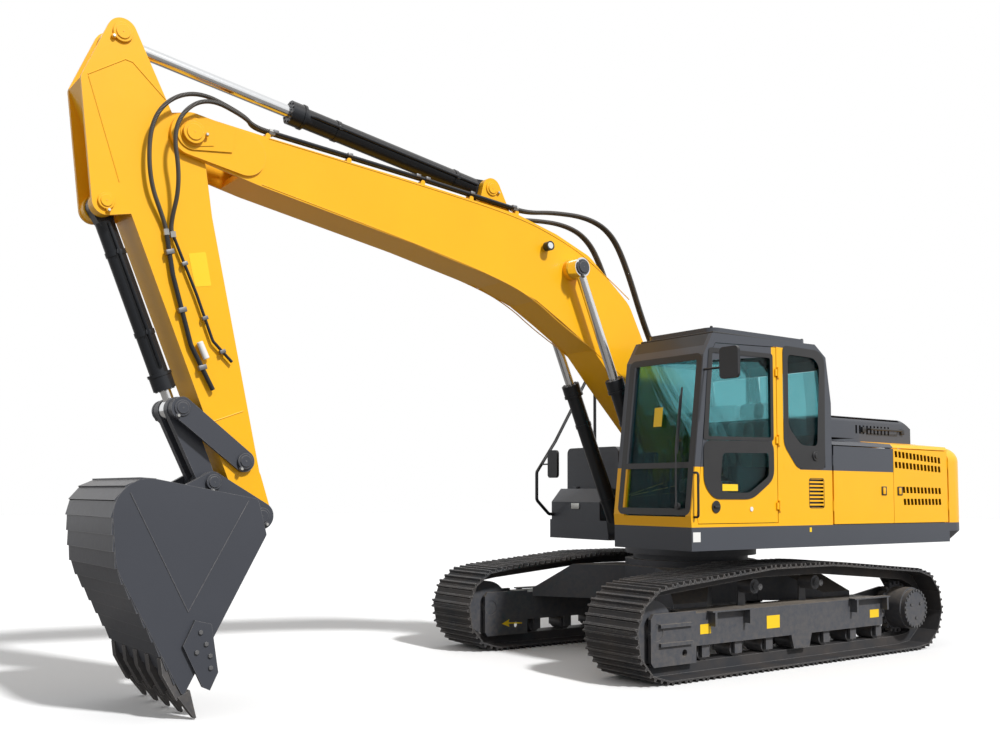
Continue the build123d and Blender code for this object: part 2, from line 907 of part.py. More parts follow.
# Cab
cab_wall = 45
cab_floor = skirt_top
cab_profile = [
    (cab_front, cab_floor),
    (cab_front + 8, 1340),
    (1330, 2690),
    (1215, 2880),
    (-180, 2900),
    (-340, 2790),
    (cab_rear, 2370),
    (cab_rear, cab_floor),
]
cab_inner = [
    (cab_front - cab_wall, cab_floor + 30),
    (cab_front - cab_wall + 8, 1340),
    (1330 - cab_wall, 2680),
    (1190, 2900 - cab_wall),
    (-165, 2900 - cab_wall),
    (-305, 2770),
    (cab_rear + cab_wall, 2360),
    (cab_rear + cab_wall, cab_floor + 30),
]
door_hinge_x = 365
cab_hinge = (door_hinge_x + 6, house_half_width + 12)
cab_hinge_zs = (1420, 2000, 2600)
door_opening = [
    (door_hinge_x + 12, cab_floor + 25),
    (cab_front - 78, cab_floor + 25),
    (cab_front - 62, 1345),
    (1262, 2690),
    (1180, 2800),
    (door_hinge_x + 12, 2830),
]
with BuildPart() as cab:
    panel(house_half_width, house_half_width - cab_right, cab_profile)
    panel(
        house_half_width - cab_wall,
        house_half_width - cab_right - 2 * cab_wall,
        cab_inner,
        mode=Mode.SUBTRACT,
    )
    panel(house_half_width + 1, cab_wall + 2, door_opening, mode=Mode.SUBTRACT)
    panel(
        house_half_width + 1,
        cab_wall + 2,
        [(-310, 1770), (290, 1770), (290, 2800), (-170, 2800), (-310, 2700)],
        mode=Mode.SUBTRACT,
    )
    panel(
        cab_right + cab_wall + 1,
        cab_wall + 2,
        [(-310, 1770), (1330, 1500), (1230, 2700), (-170, 2800), (-310, 2700)],
        mode=Mode.SUBTRACT,
    )
    for low, high in ((1330, 1740), (1780, 2660)):
        block(
            (1100, cab_right + 125, low),
            (1700, house_half_width - 60, high),
            mode=Mode.SUBTRACT,
        )
    block(
        (cab_rear - 100, cab_right + 110, 2080),
        (cab_rear + 100, house_half_width - 110, 2680),
        mode=Mode.SUBTRACT,
    )
    for i in range(8):
        low = 1405 + i * 34
        block(
            (vent_rear, house_half_width - 20, low),
            (vent_front, house_half_width + 1, low + 18),
            mode=Mode.SUBTRACT,
        )
    for z in cab_hinge_zs:
        hinge_pin(cab_hinge[0], cab_hinge[1], z)
        for end in (1, -1):
            middle = z + end * ((hinge_length + hinge_cap) / 2 + seat_gap)
            block(
                (cab_hinge[0] - 26, house_half_width - 5, middle - hinge_cap / 2),
                (cab_hinge[0], cab_hinge[1] + 2, middle + hinge_cap / 2),
            )
save(cab, "cab_shell")

with BuildPart() as roof:
    with BuildSketch(Plane.XY.offset(2900)):
        with BuildLine():
            Polyline(
                (1150, cab_right + 60),
                (1150, house_half_width - 60),
                (-160, house_half_width - 60),
                (-160, cab_right + 60),
                close=True,
            )
        make_face()
        fillet(vertices(), 90)
    extrude(amount=45)
save(roof, "cab_roof")

glass = 6
with BuildPart() as windows:
    for low, high in ((1330, 1740), (1780, 2660)):
        lean = (1330 - (cab_front + 8)) / (2690 - 1340)
        x_low = cab_front + 8 + lean * (low - 1340) - 25
        x_high = cab_front + 8 + lean * (high - 1340) - 25
        panel(
            house_half_width - 60.3,
            house_half_width - cab_right - 185.6,
            [
                (x_low, low + 0.3),
                (x_low - glass, low + 0.3),
                (x_high - glass, high - 0.3),
                (x_high, high - 0.3),
            ],
        )
    block(
        (cab_rear + 15, cab_right + 110.3, 2080.3),
        (cab_rear + 15 + glass, house_half_width - 110.3, 2679.7),
    )
    panel(
        house_half_width - 12,
        glass,
        [(-309.7, 1770.3), (289.7, 1770.3), (289.7, 2799.7), (-169.8, 2799.7), (-309.7, 2699.9)],
    )
    panel(
        cab_right + 12 + glass,
        glass,
        [(-309.7, 1770.4), (1329.6, 1500.4), (1229.7, 2699.6), (-169.8, 2799.6), (-309.7, 2699.9)],
    )
save(windows, "cab_windows")

door_upper_pane = [
    (door_hinge_x + 80, 2010),
    (1290, 1950),
    (1215, 2650),
    (door_hinge_x + 80, 2735),
]
door_lower_pane = [
    (door_hinge_x + 80, 1687),
    (720, 1510),
    (1100, 1497),
    (1265, 1597),
    (1290, 1910),
    (door_hinge_x + 80, 1970),
]
with BuildPart() as cab_door:
    leaf = [
        (door_hinge_x + 18, cab_floor + 31),
        (cab_front - 85, cab_floor + 31),
        (cab_front - 69, 1348),
        (1256, 2684),
        (1177, 2794),
        (door_hinge_x + 18, 2824),
    ]
    panel(house_half_width - 2, cab_wall - 5, leaf)
    panel(
        house_half_width,
        cab_wall,
        door_upper_pane,
        mode=Mode.SUBTRACT,
    )
    panel(
        house_half_width,
        cab_wall,
        door_lower_pane,
        mode=Mode.SUBTRACT,
    )
    for z in cab_hinge_zs:
        for low in (
            (cab_hinge[0], house_half_width + 2, z - hinge_length / 2),
            (door_hinge_x + 20, house_half_width - 12, z - hinge_length / 2),
        ):
            block(low, (door_hinge_x + 40, cab_hinge[1], z + hinge_length / 2))
        knuckle(cab_hinge[0], cab_hinge[1], z)
save(cab_door, "cab_door")
with BuildPart() as door_glass:
    for pane in (door_upper_pane, door_lower_pane):
        with BuildSketch(at_y(house_half_width - 14)) as outline:
            with BuildLine():
                Polyline(*pane, close=True)
            make_face()
            offset(amount=-seat_gap, kind=Kind.INTERSECTION)
        extrude(outline.sketch, amount=glass)
save(door_glass, "cab_door_windows")

with BuildPart() as seat:
    block((250, 700, cab_floor + 30), (650, 1130, 1500))
    block((200, 660, 1500), (740, 1170, 1620))
    panel(1150, 470, [(180, 1620.3), (330, 1620.3), (240, 2330), (130, 2330)])
save(seat, "operator_seat")

with BuildPart() as consoles:
    for low_y, high_y in ((560, 650), (1180, 1270)):
        block((280, low_y, cab_floor + 30), (820, high_y, 1760))
save(consoles, "consoles")

# Handrail of bent tube on the right, mirror and exhaust
rail_y = right_outer + 30
rail_radius = 17
grab_rail_x = 1462
grab_rail_top = 1695
grab_rail_bottom = 1330
with BuildPart() as rails:
    with BuildLine():
        FilletPolyline(
            (right_front - 4, rail_y, 1300),
            (right_front + 60, rail_y, 1300),
            (900, rail_y, 1450),
            (900, rail_y, 1745),
            (640, rail_y, 2080),
            (170, rail_y, 2800),
            (60, rail_y, 2800),
            (60, rail_y, 2010),
            radius=50,
        )
    with BuildSketch(Plane(origin=(right_front - 4, rail_y, 1300), z_dir=(1, 0, 0))):
        Circle(rail_radius)
    sweep()
    cab_side = house_half_width + seat_gap / 2
    tube(
        [
            (grab_rail_x, cab_side, grab_rail_top),
            (grab_rail_x, cab_side + 45, grab_rail_top),
            (grab_rail_x, cab_side + 45, grab_rail_bottom),
            (grab_rail_x, cab_side, grab_rail_bottom),
        ],
        10,
        20,
    )
save(rails, "handrails")

mirror_depth = 30
mirror_arm = (1325, 2560)
left_mirror = (1345, 1650, 2590)
right_mirror = (835, -1120, 1829)
with BuildPart() as mirrors:
    for middle, width, height in ((left_mirror, 190, 260), (right_mirror, 150, 290)):
        with BuildSketch(Plane.YZ.offset(middle[0] - mirror_depth / 2)) as outline:
            with Locations((middle[1], middle[2])):
                RectangleRounded(width, height, 35)
        extrude(outline.sketch, amount=mirror_depth)
    disc(left_mirror[1], mirror_arm, 10, left_mirror[1] - cab_side)
    bracket_end = rail_y + rail_radius + pin_gap
    disc(right_mirror[1] - 60, right_mirror[::2], 8, right_mirror[1] - 60 - bracket_end)
save(mirrors, "mirrors")

with BuildPart() as exhaust:
    with BuildSketch(Plane.XY.offset(top_plate)):
        with Locations((-1900, -880)):
            Circle(60)
    extrude(amount=370)
save(exhaust, "exhaust_pipe")

# Boom: a hollow box with a forked nose
boom_stations = [
    (boom_foot[0], boom_foot[1], 170),
    (1046, 2782, 275),
    (1275, 3095, 326),
    (1703, 3386, 360),
    (2020, 3530, 335),
    (2440, 3655, 315),
    (3410, 3800, 260),
    (4800, 3977, 192),
    (boom_nose[0], boom_nose[1], 155),
]
nose_ear_inner = arm_half_width + side_gap
nose_ear_outer = nose_ear_inner + 40
nose_slot_radius = 450
pipe_radius = 15
pipe_lift = 52
pipe_ys = (141, 176, -141, -176)
saddle_radius = 20
saddle_gap = 0.6
hose_straight = 120
first_pipe_station = 4


def over(stations, lift):
    """Points that far above the top of the boom at its inner stations."""
    points = []
    for before, here, after in zip(stations, stations[1:], stations[2:]):
        length = span(before, after)
        rise = here[2] + lift
        x = here[0] - (after[1] - before[1]) / length * rise
        z = here[1] + (after[0] - before[0]) / length * rise
        points.append((x, z))
    return points


def with_middles(points):
    """The points with the middle of each stretch between them."""
    found = [points[0]]
    for a, b in zip(points, points[1:]):
        found += [along(a, b, span(a, b) / 2), b]
    return found


pipe_route = over(boom_stations, pipe_lift)[first_pipe_station:]
with BuildPart() as boom:
    for a, b in zip(boom_stations, boom_stations[1:]):
        plate(boom_half_width, 2 * boom_half_width, a, b)
    for a, b in zip(boom_stations[1:-1], boom_stations[2:-1]):
        with BuildSketch(at_y(boom_half_width - boom_wall)):
            hull(
                (a[0], a[1], a[2] - boom_wall),
                (b[0], b[1], b[2] - boom_wall),
            )
        extrude(amount=2 * (boom_half_width - boom_wall), mode=Mode.SUBTRACT)
    for y in (nose_ear_outer, -nose_ear_inner):
        plate(y, 40, boom_stations[-1], (4960, 4000, 160))
    disc(nose_ear_inner, boom_nose, nose_slot_radius, 2 * nose_ear_inner, mode=Mode.SUBTRACT)
    disc(nose_ear_outer + 25, boom_nose, foot_pin_radius, 2 * (nose_ear_outer + 25))
    bore(foot_plate_outer, boom_foot, foot_pin_radius + pin_gap, 2 * foot_plate_outer)
    for side in (1, -1):
        y = 240 if side > 0 else -boom_half_width
        disc(y, boom_lift_pin, 95, 50)
    for y in (120, -arm_eye_width / 2 - side_gap):
        plate(
            y,
            120 - arm_eye_width / 2 - side_gap,
            (arm_base_pin[0], arm_base_pin[1], 95),
            (arm_base_pin[0] - 190, 3930, 40),
            (arm_base_pin[0] + 110, 3950, 40),
        )
    disc(120, arm_base_pin, arm_pin_radius, 240)
    saddle_tops = over(boom_stations, pipe_lift - pipe_radius - saddle_radius - saddle_gap)
    saddle_roots = over(boom_stations, -60)
    for top, root in zip(
        with_middles(saddle_tops[first_pipe_station:]),
        with_middles(saddle_roots[first_pipe_station:]),
    ):
        for y in (max(pipe_ys), -min(abs(y) for y in pipe_ys)):
            plate(y + 8, 51, (*top, saddle_radius), (*root, saddle_radius))
save(boom, "boom")

with BuildPart() as pipes:
    for y in pipe_ys:
        tube([(x, y, z) for x, z in pipe_route], pipe_radius, 150)
save(pipes, "boom_pipes")

with BuildPart() as lamp:
    disc(boom_half_width + 85, boom_lamp, 42, 60)
    disc(boom_half_width + 26, boom_lamp, 14, 26 - pin_gap)
save(lamp, "boom_lamp")

# Hoses from the boom's pipes over its knee and down to the deck
boom_hose_route = [
    (1950, 4056),
    (1522, 4077),
    (1229, 3980),
    (1035, 3706),
    (760, 3060),
    (393, 2480),
    (-60, 2150),
    (-160, 1500),
    (-160, deck_top + seat_gap),
]
with BuildPart() as boom_hoses:
    for y in pipe_ys:
        start = along(pipe_route[0], pipe_route[1], -pin_gap)
        straight = along(pipe_route[0], pipe_route[1], -hose_straight)
        tube([(x, y, z) for x, z in [start, straight] + boom_hose_route], pipe_radius, 110)
save(boom_hoses, "boom_hoses")

# Arm: a box between straight edges, with ears for both cylinders and studs for its pipes
arm_pipe_y = arm_half_width + 32
thick_pipe_radius = 17
thin_pipe_radius = 11
hose_end_straight = 40
arm_thick_pipe = [(5547, 3352), (5489, 3033), (5346, 2550), (5175, 2241)]
arm_thin_pipe = [(5503, 3338), (5310, 2912), (5183, 2593), (5034, 2453)]
arm_corner = (6075, 4310, 75)
arm_tip_radius = 105
arm_side = [
    (4752, 1500),
    (5194, 3500),
    (5251, 3866),
    (5320, 4030),
    (6090, 4384),
    (6150, 4320),
    (5013, 1557),
]
with BuildPart() as arm:
    panel(arm_half_width, 2 * arm_half_width, arm_side)
    with BuildSketch(at_y(arm_half_width - arm_wall)) as hollow:
        with BuildLine():
            Polyline(*arm_side, close=True)
        make_face()
        offset(amount=-2 * arm_wall, kind=Kind.INTERSECTION)
    extrude(hollow.sketch, amount=2 * (arm_half_width - arm_wall), mode=Mode.SUBTRACT)
    plate(arm_half_width, 2 * arm_half_width, (*arm_tip, arm_tip_radius), (4882, 1600, 112))
    for y in (arm_half_width, -arm_half_width + 30):
        plate(y, 30, (*arm_rod_pin, 105), arm_corner, (5500, 4050, 60))
        plate(y, 30, arm_corner, (*bucket_base_pin, 95), (5700, 3500, 50))
    plate(arm_half_width, 2 * arm_half_width, (*boom_nose, 165), (5560, 4080, 110))
    boss_width = arm_half_width - arm_eye_width / 2 - side_gap
    for pin in (arm_rod_pin, bucket_base_pin):
        for y in (arm_half_width, -arm_half_width + boss_width):
            disc(y, pin, 90, boss_width)
    disc(arm_half_width, bucket_base_pin, bucket_pin_radius, 2 * arm_half_width)
    bore(arm_half_width, boom_nose, foot_pin_radius + pin_gap, 2 * arm_half_width)
    bore(arm_half_width, arm_tip, bucket_pin_radius + pin_gap, 2 * arm_half_width)
    stud_length = arm_pipe_y - thick_pipe_radius - pin_gap - arm_half_width
    for a, b in zip(arm_thick_pipe, arm_thick_pipe[1:]):
        stud = along(a, b, span(a, b) / 2)
        disc(arm_half_width + stud_length, stud, 16, stud_length)
        disc(-arm_half_width, stud, 16, stud_length)
    for a, b in zip(arm_thin_pipe, arm_thin_pipe[1:]):
        stud = along(a, b, span(a, b) / 2)
        reach = arm_pipe_y - thin_pipe_radius - pin_gap - arm_half_width
        disc(arm_half_width + reach, stud, 12, reach)
    rocker_pin_end = rocker_inner + rocker_thick + 12
    disc(rocker_pin_end, rocker_pin, bucket_pin_radius, 2 * rocker_pin_end)
save(arm, "arm")

with BuildPart() as arm_pipes:
    for y in (arm_pipe_y, -arm_pipe_y):
        tube([(x, y, z) for x, z in arm_thick_pipe], thick_pipe_radius, 60)
    tube([(x, arm_pipe_y, z) for x, z in arm_thin_pipe], thin_pipe_radius, 60)
save(arm_pipes, "arm_pipes")

# Hoses round the boom's nose, from its pipes to the arm's
thick_hose_route = [(4990, 215, 4290), (5400, 262, 4380), (5690, 262, 4150), (5700, 240, 3700)]
thin_hose_route = [(4960, 230, 4260), (5330, 305, 4330), (5560, 305, 4080), (5480, 290, 3680)]
with BuildPart() as nose_hoses:
    past_end = [along(pipe_route[-1], pipe_route[-2], -d) for d in (pin_gap, hose_straight)]
    for side in (1, -1):
        bends = [(x, side * y, z) for x, y, z in thick_hose_route]
        arm_end = [along(*arm_thick_pipe[:2], -d) for d in (hose_end_straight, pin_gap)]
        tube(
            [(x, side * 176, z) for x, z in past_end]
            + bends
            + [(x, side * arm_pipe_y, z) for x, z in arm_end],
            pipe_radius,
            60,
        )
    arm_end = [along(*arm_thin_pipe[:2], -d) for d in (hose_end_straight, pin_gap)]
    tube(
        [(x, 141, z) for x, z in past_end]
        + thin_hose_route
        + [(x, arm_pipe_y, z) for x, z in arm_end],
        pipe_radius,
        60,
    )
save(nose_hoses, "arm_hoses")


def cylinder_barrel(
    base, rod_end, y, length, radius, hole_radius, eye_radius, eye_width, pin_radius
):
    """Barrel with its base eye on a flat neck, open towards the rod."""
    neck = eye_radius + barrel_neck
    plate(
        y + eye_width / 2,
        eye_width,
        (*base, eye_radius),
        (*along(base, rod_end, neck), radius * 0.8),
    )
    with BuildSketch(tube_plane(along(base, rod_end, neck), rod_end, y)) as tube:
        Circle(radius)
    extrude(tube.sketch, amount=length - neck)
    hole_start = along(base, rod_end, neck + barrel_end_wall)
    with BuildSketch(tube_plane(hole_start, rod_end, y)) as hole:
        Circle(hole_radius)
    extrude(hole.sketch, amount=length, mode=Mode.SUBTRACT)
    bore(y + eye_width / 2, base, pin_radius + pin_gap, eye_width)


def cylinder_rod(base, rod_end, y, inside, radius, eye_radius, eye_width):
    """Rod reaching into its barrel, with its eye at the far end."""
    disc(y + eye_width / 2, rod_end, eye_radius, eye_width)
    start = along(base, rod_end, inside)
    with BuildSketch(tube_plane(start, rod_end, y)) as shaft:
        Circle(radius)
    extrude(shaft.sketch, amount=span(base, rod_end) - inside - eye_radius * 0.5)


with BuildPart() as lift_barrels:
    for side in (1, -1):
        cylinder_barrel(
            lift_foot, boom_lift_pin, side * lift_y, lift_barrel_length, lift_barrel_radius,
            lift_rod_radius + pin_gap, lift_eye_radius, lift_eye_width, lift_pin_radius,
        )
save(lift_barrels, "boom_cylinder_barrels")
with BuildPart() as lift_rods:
    for side in (1, -1):
        cylinder_rod(
            lift_foot, boom_lift_pin, side * lift_y, lift_barrel_length - 490, lift_rod_radius,
            lift_eye_radius, lift_eye_width,
        )
save(lift_rods, "boom_cylinder_rods")

with BuildPart() as arm_barrel:
    cylinder_barrel(
        arm_base_pin, arm_rod_pin, 0, arm_barrel_length, arm_barrel_radius,
        arm_cylinder_rod_radius + pin_gap, arm_eye_radius, arm_eye_width, arm_pin_radius,
    )
save(arm_barrel, "arm_cylinder_barrel")
with BuildPart() as arm_rod:
    cylinder_rod(
        arm_base_pin, arm_rod_pin, 0, arm_barrel_length - 400, arm_cylinder_rod_radius,
        arm_eye_radius, arm_eye_width,
    )
save(arm_rod, "arm_cylinder_rod")

with BuildPart() as bucket_barrel:
    cylinder_barrel(
        bucket_base_pin, link_pin, 0, bucket_barrel_length, bucket_barrel_radius,
        bucket_rod_radius + pin_gap, bucket_eye_radius, bucket_eye_width, bucket_pin_radius,
    )
save(bucket_barrel, "bucket_cylinder_barrel")
with BuildPart() as bucket_rod:
    cylinder_rod(
        bucket_base_pin, link_pin, 0, bucket_barrel_length - 1100, bucket_rod_radius,
        bucket_eye_radius, bucket_eye_width,
    )
save(bucket_rod, "bucket_cylinder_rod")

with BuildPart() as rockers:
    for y in (rocker_inner + rocker_thick, -rocker_inner):
        plate(
            y,
            rocker_thick,
            (link_pin[0], link_pin[1], 80),
            (rocker_pin[0], rocker_pin[1], 78),
        )
        bore(y, rocker_pin, bucket_pin_radius + pin_gap, rocker_thick)
save(rockers, "bucket_rockers")

link_boss_end = rocker_inner - side_gap
with BuildPart() as link:
    for y in (link_boss_end, -fork_inner):
        disc(y, link_pin, 78, link_boss_end - fork_inner)
    for y in (fork_inner + 60, -fork_inner):
        plate(y, 60, (*link_pin, 85), (*bucket_link_pin, link_hub_radius))
    disc(link_half_width, bucket_link_pin, link_hub_radius, 2 * link_half_width)
    bore(link_half_width, bucket_link_pin, bucket_pin_radius + pin_gap, 2 * link_half_width)
save(link, "bucket_link")

# Bucket
shell_back = (5530, 1140, 420)
shell_top = (5730, 1360, 240)
top_lip = (4985, 1440, 30)
top_plate_front = 4995
mouth_top = (4915, 1220, 20)
lip = (5478, 195, 16)
strip_steps = 36
strip_count = 16
strip_thick = 16
strip_thin = 4
strip_inset = 4
strip_root = 8
with BuildPart() as bucket:
    plate(bucket_half_width, 2 * bucket_half_width, shell_top, shell_back, top_lip, mouth_top, lip)
    inner_y = bucket_half_width - bucket_side
    with BuildSketch(at_y(inner_y)):
        hull(
            (shell_top[0], shell_top[1], shell_top[2] - bucket_shell),
            (shell_back[0], shell_back[1], shell_back[2] - bucket_shell),
            (top_lip[0] - 400, top_lip[1] - bucket_shell - 10, 20),
            (lip[0] - 130, lip[1] - 200, 16),
        )
    extrude(amount=2 * inner_y, mode=Mode.SUBTRACT)
    block((4800, -inner_y, 1350), (top_plate_front, inner_y, 1600), mode=Mode.SUBTRACT)
    shell_points = belt_points([lip, shell_back, shell_top, top_lip, mouth_top], strip_steps)
    for a, b in zip(shell_points[1:strip_count], shell_points[2:]):
        length = span(a, b)
        nx, nz = (b[1] - a[1]) / length, (a[0] - b[0]) / length
        panel(
            bucket_half_width - strip_inset,
            2 * (bucket_half_width - strip_inset),
            [
                (a[0] - nx * strip_root, a[1] - nz * strip_root),
                (b[0] - nx * strip_root, b[1] - nz * strip_root),
                (b[0] + nx * strip_thin, b[1] + nz * strip_thin),
                (a[0] + nx * strip_thick, a[1] + nz * strip_thick),
            ],
        )
    for y in (bucket_ear_inner + bucket_ear_thick, -bucket_ear_inner):
        plate(
            y,
            bucket_ear_thick,
            (*arm_tip, 100),
            (*bucket_link_pin, 75),
            (5420, 1510, 20),
            (5040, 1430, 20),
        )
    outer = bucket_ear_inner + bucket_ear_thick + 15
    disc(outer, arm_tip, bucket_pin_radius, 2 * outer)
    disc(outer, bucket_link_pin, bucket_pin_radius, 2 * outer)
save(bucket, "bucket")

tooth_pitch = (2 * bucket_half_width - tooth_width) / (tooth_count - 1)
lip_direction = Vector(bucket_tooth_tip[0] - lip[0], 0, bucket_tooth_tip[1] - lip[1]).normalized()
with BuildPart() as teeth:
    for i in range(tooth_count):
        y = -bucket_half_width + tooth_width / 2 + i * tooth_pitch
        root = Plane(
            origin=Vector(lip[0], y, lip[1]) + lip_direction * (lip[2] + pin_gap),
            x_dir=(0, 1, 0),
            z_dir=lip_direction,
        )
        point = Plane(
            origin=(bucket_tooth_tip[0], y, bucket_tooth_tip[1] + 8),
            x_dir=(0, 1, 0),
            z_dir=lip_direction,
        )
        with BuildSketch(root):
            Rectangle(tooth_width, 90)
        with BuildSketch(point):
            Rectangle(tooth_width * 0.7, 14)
        loft()
save(teeth, "bucket_teeth")

with BuildPart() as cutters:
    for y in (bucket_half_width + side_cutter_thick + seat_gap, -bucket_half_width - seat_gap):
        panel(
            y,
            side_cutter_thick,
            [(5414, 661), (5297, 629), (5244, 305), (5301, 190), (5353, 215), (5494, 497)],
        )
save(cutters, "side_cutters")
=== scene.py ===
"""Finish and small parts of a crawler excavator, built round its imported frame, in metres."""

import math

import bmesh
import bpy
from bpy.props import FloatProperty, FloatVectorProperty, PointerProperty
from mathutils import Matrix, Vector


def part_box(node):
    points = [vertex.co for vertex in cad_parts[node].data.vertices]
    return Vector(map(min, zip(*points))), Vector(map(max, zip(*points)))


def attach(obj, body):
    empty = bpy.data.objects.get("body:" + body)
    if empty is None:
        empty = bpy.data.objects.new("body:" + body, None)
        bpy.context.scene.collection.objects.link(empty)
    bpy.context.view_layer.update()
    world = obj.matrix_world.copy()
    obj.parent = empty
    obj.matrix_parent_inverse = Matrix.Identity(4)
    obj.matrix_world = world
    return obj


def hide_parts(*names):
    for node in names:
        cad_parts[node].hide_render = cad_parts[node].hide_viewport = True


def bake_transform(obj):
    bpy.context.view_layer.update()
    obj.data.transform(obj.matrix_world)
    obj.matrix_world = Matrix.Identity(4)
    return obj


bl_info = {
    "name": "Crawler Excavator Finish",
    "version": (1, 0, 0),
    "blender": (4, 5, 0),
    "location": "View3D > Sidebar > Excavator",
    "description": "Paints a crawler excavator and adds its hoses, pin caps, seals and trim",
    "category": "Object",
}

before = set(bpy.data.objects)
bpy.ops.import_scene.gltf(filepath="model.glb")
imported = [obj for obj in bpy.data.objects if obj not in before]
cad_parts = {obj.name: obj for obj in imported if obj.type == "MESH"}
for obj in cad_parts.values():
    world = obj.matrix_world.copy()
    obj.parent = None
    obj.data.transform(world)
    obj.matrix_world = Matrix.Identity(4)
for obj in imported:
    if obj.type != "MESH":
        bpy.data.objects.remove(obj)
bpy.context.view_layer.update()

# Heights where the paint changes, and the x where the grey band of the covers ends
PAINT_BREAK = 1.745
SKIRT_TOP = 1.245
COVER_JOINT = -1.398
# Outside of the cab's and the covers' left wall
SIDE_Y = 1.364
# x and z of the windshield where it starts to lean, and its lean
WINDSHIELD_FOOT = (1.502, 1.340)
WINDSHIELD_SLOPE = (1.502 - 1.330) / (2.690 - 1.340)
# y of the four pipes on the boom, and of the thick and thin pipe on the arm
BOOM_PIPES = (0.141, 0.176, -0.141, -0.176)
ARM_PIPE = 0.197
# Trim inside the cab
TRIM_BLACK = (0.03, 0.032, 0.036)
# Directions that round shapes lie along
UP = (0, 0, 1)
LEFT = (0, 1, 0)


class Number:
    """A number socket that can stand in a Python expression."""

    def __init__(self, tree, socket):
        self.tree = tree
        self.socket = socket

    def joined(self, operation, *values):
        node = self.tree.nodes.new("ShaderNodeMath")
        node.operation = operation
        for slot, value in zip(node.inputs, values):
            if isinstance(value, Number):
                self.tree.links.new(value.socket, slot)
            else:
                slot.default_value = value
        return Number(self.tree, node.outputs[0])

    def __add__(self, other):
        return self.joined("ADD", self, other)

    def __radd__(self, other):
        return self.joined("ADD", other, self)

    def __sub__(self, other):
        return self.joined("SUBTRACT", self, other)

    def __rsub__(self, other):
        return self.joined("SUBTRACT", other, self)

    def __mul__(self, other):
        return self.joined("MULTIPLY", self, other)

    def __rmul__(self, other):
        return self.joined("MULTIPLY", other, self)

    def __gt__(self, other):
        return self.joined("GREATER_THAN", self, other)

    def __lt__(self, other):
        return self.joined("LESS_THAN", self, other)

    def either(self, other):
        return self.joined("MAXIMUM", self, other)

    def sine(self):
        return self.joined("SINE", self)

    def held(self):
        """The number kept between 0 and 1."""
        return self.joined("MINIMUM", self.either(0.0), 1.0)


class Finish:
    """A material under construction, with its Principled shader."""

    def __init__(self, name):
        self.colours = bpy.context.scene.excavator_colours
        self.material = bpy.data.materials.new(name)
        self.material.use_nodes = True
        self.tree = self.material.node_tree
        self.shader = self.tree.nodes["Principled BSDF"]
        self.spot = self.node("ShaderNodeTexCoord").outputs["Object"]
        parts = self.node("ShaderNodeSeparateXYZ", values={"Vector": self.spot})
        self.x, self.y, self.z = (Number(self.tree, parts.outputs[i]) for i in range(3))

    def node(self, kind, settings=None, values=None):
        """Adds a node, its settings first and then the values or links of its sockets."""
        node = self.tree.nodes.new(kind)
        for name, value in (settings or {}).items():
            setattr(node, name, value)
        for name, value in (values or {}).items():
            self.feed(node.inputs[name], value)
        return node

    def feed(self, socket, value):
        if isinstance(value, Number):
            self.tree.links.new(value.socket, socket)
        elif isinstance(value, bpy.types.NodeSocket):
            self.tree.links.new(value, socket)
        else:
            socket.default_value = value

    def noise(self, scale, detail=3.0, roughness=0.5):
        node = self.node(
            "ShaderNodeTexNoise",
            values={"Vector": self.spot, "Scale": scale, "Detail": detail, "Roughness": roughness},
        )
        return Number(self.tree, node.outputs["Fac"])

    def blend(self, share, first, second):
        """Colour between first and second."""
        node = self.node("ShaderNodeMix", {"data_type": "RGBA"})
        for slot, value in ((0, share), (6, first), (7, second)):
            self.feed(node.inputs[slot], value)
        return node.outputs[2]

    def facing_up(self):
        """1 on faces that look up, 0 on walls."""
        normal = self.node("ShaderNodeNewGeometry").outputs["Normal"]
        parts = self.node("ShaderNodeSeparateXYZ", values={"Vector": normal})
        return Number(self.tree, parts.outputs[2]).held()

    def edges(self, radius):
        """1 on corners tighter than the radius, 0 on flat faces."""
        soft = self.node("ShaderNodeBevel", {"samples": 4}, {"Radius": radius})
        flat = self.node("ShaderNodeNewGeometry").outputs["Normal"]
        turned = self.node("ShaderNodeVectorMath", {"operation": "DOT_PRODUCT"})
        self.feed(turned.inputs[0], soft.outputs[0])
        self.feed(turned.inputs[1], flat)
        return ((1.0 - Number(self.tree, turned.outputs["Value"])) * 6.0).held()

    def bump(self, height, strength, distance):
        node = self.node(
            "ShaderNodeBump", values={"Height": height, "Strength": strength, "Distance": distance}
        )
        self.set(normal=node.outputs[0])

    def set(self, **values):
        """Feeds sockets of the shader, named in lower case."""
        for name, value in values.items():
            self.feed(self.shader.inputs[name.replace("_", " ").title().replace("Ior", "IOR")], value)


def rgba(colour):
    return (*colour, 1.0)


def between(value, low, high):
    return (value > low) * (value < high)


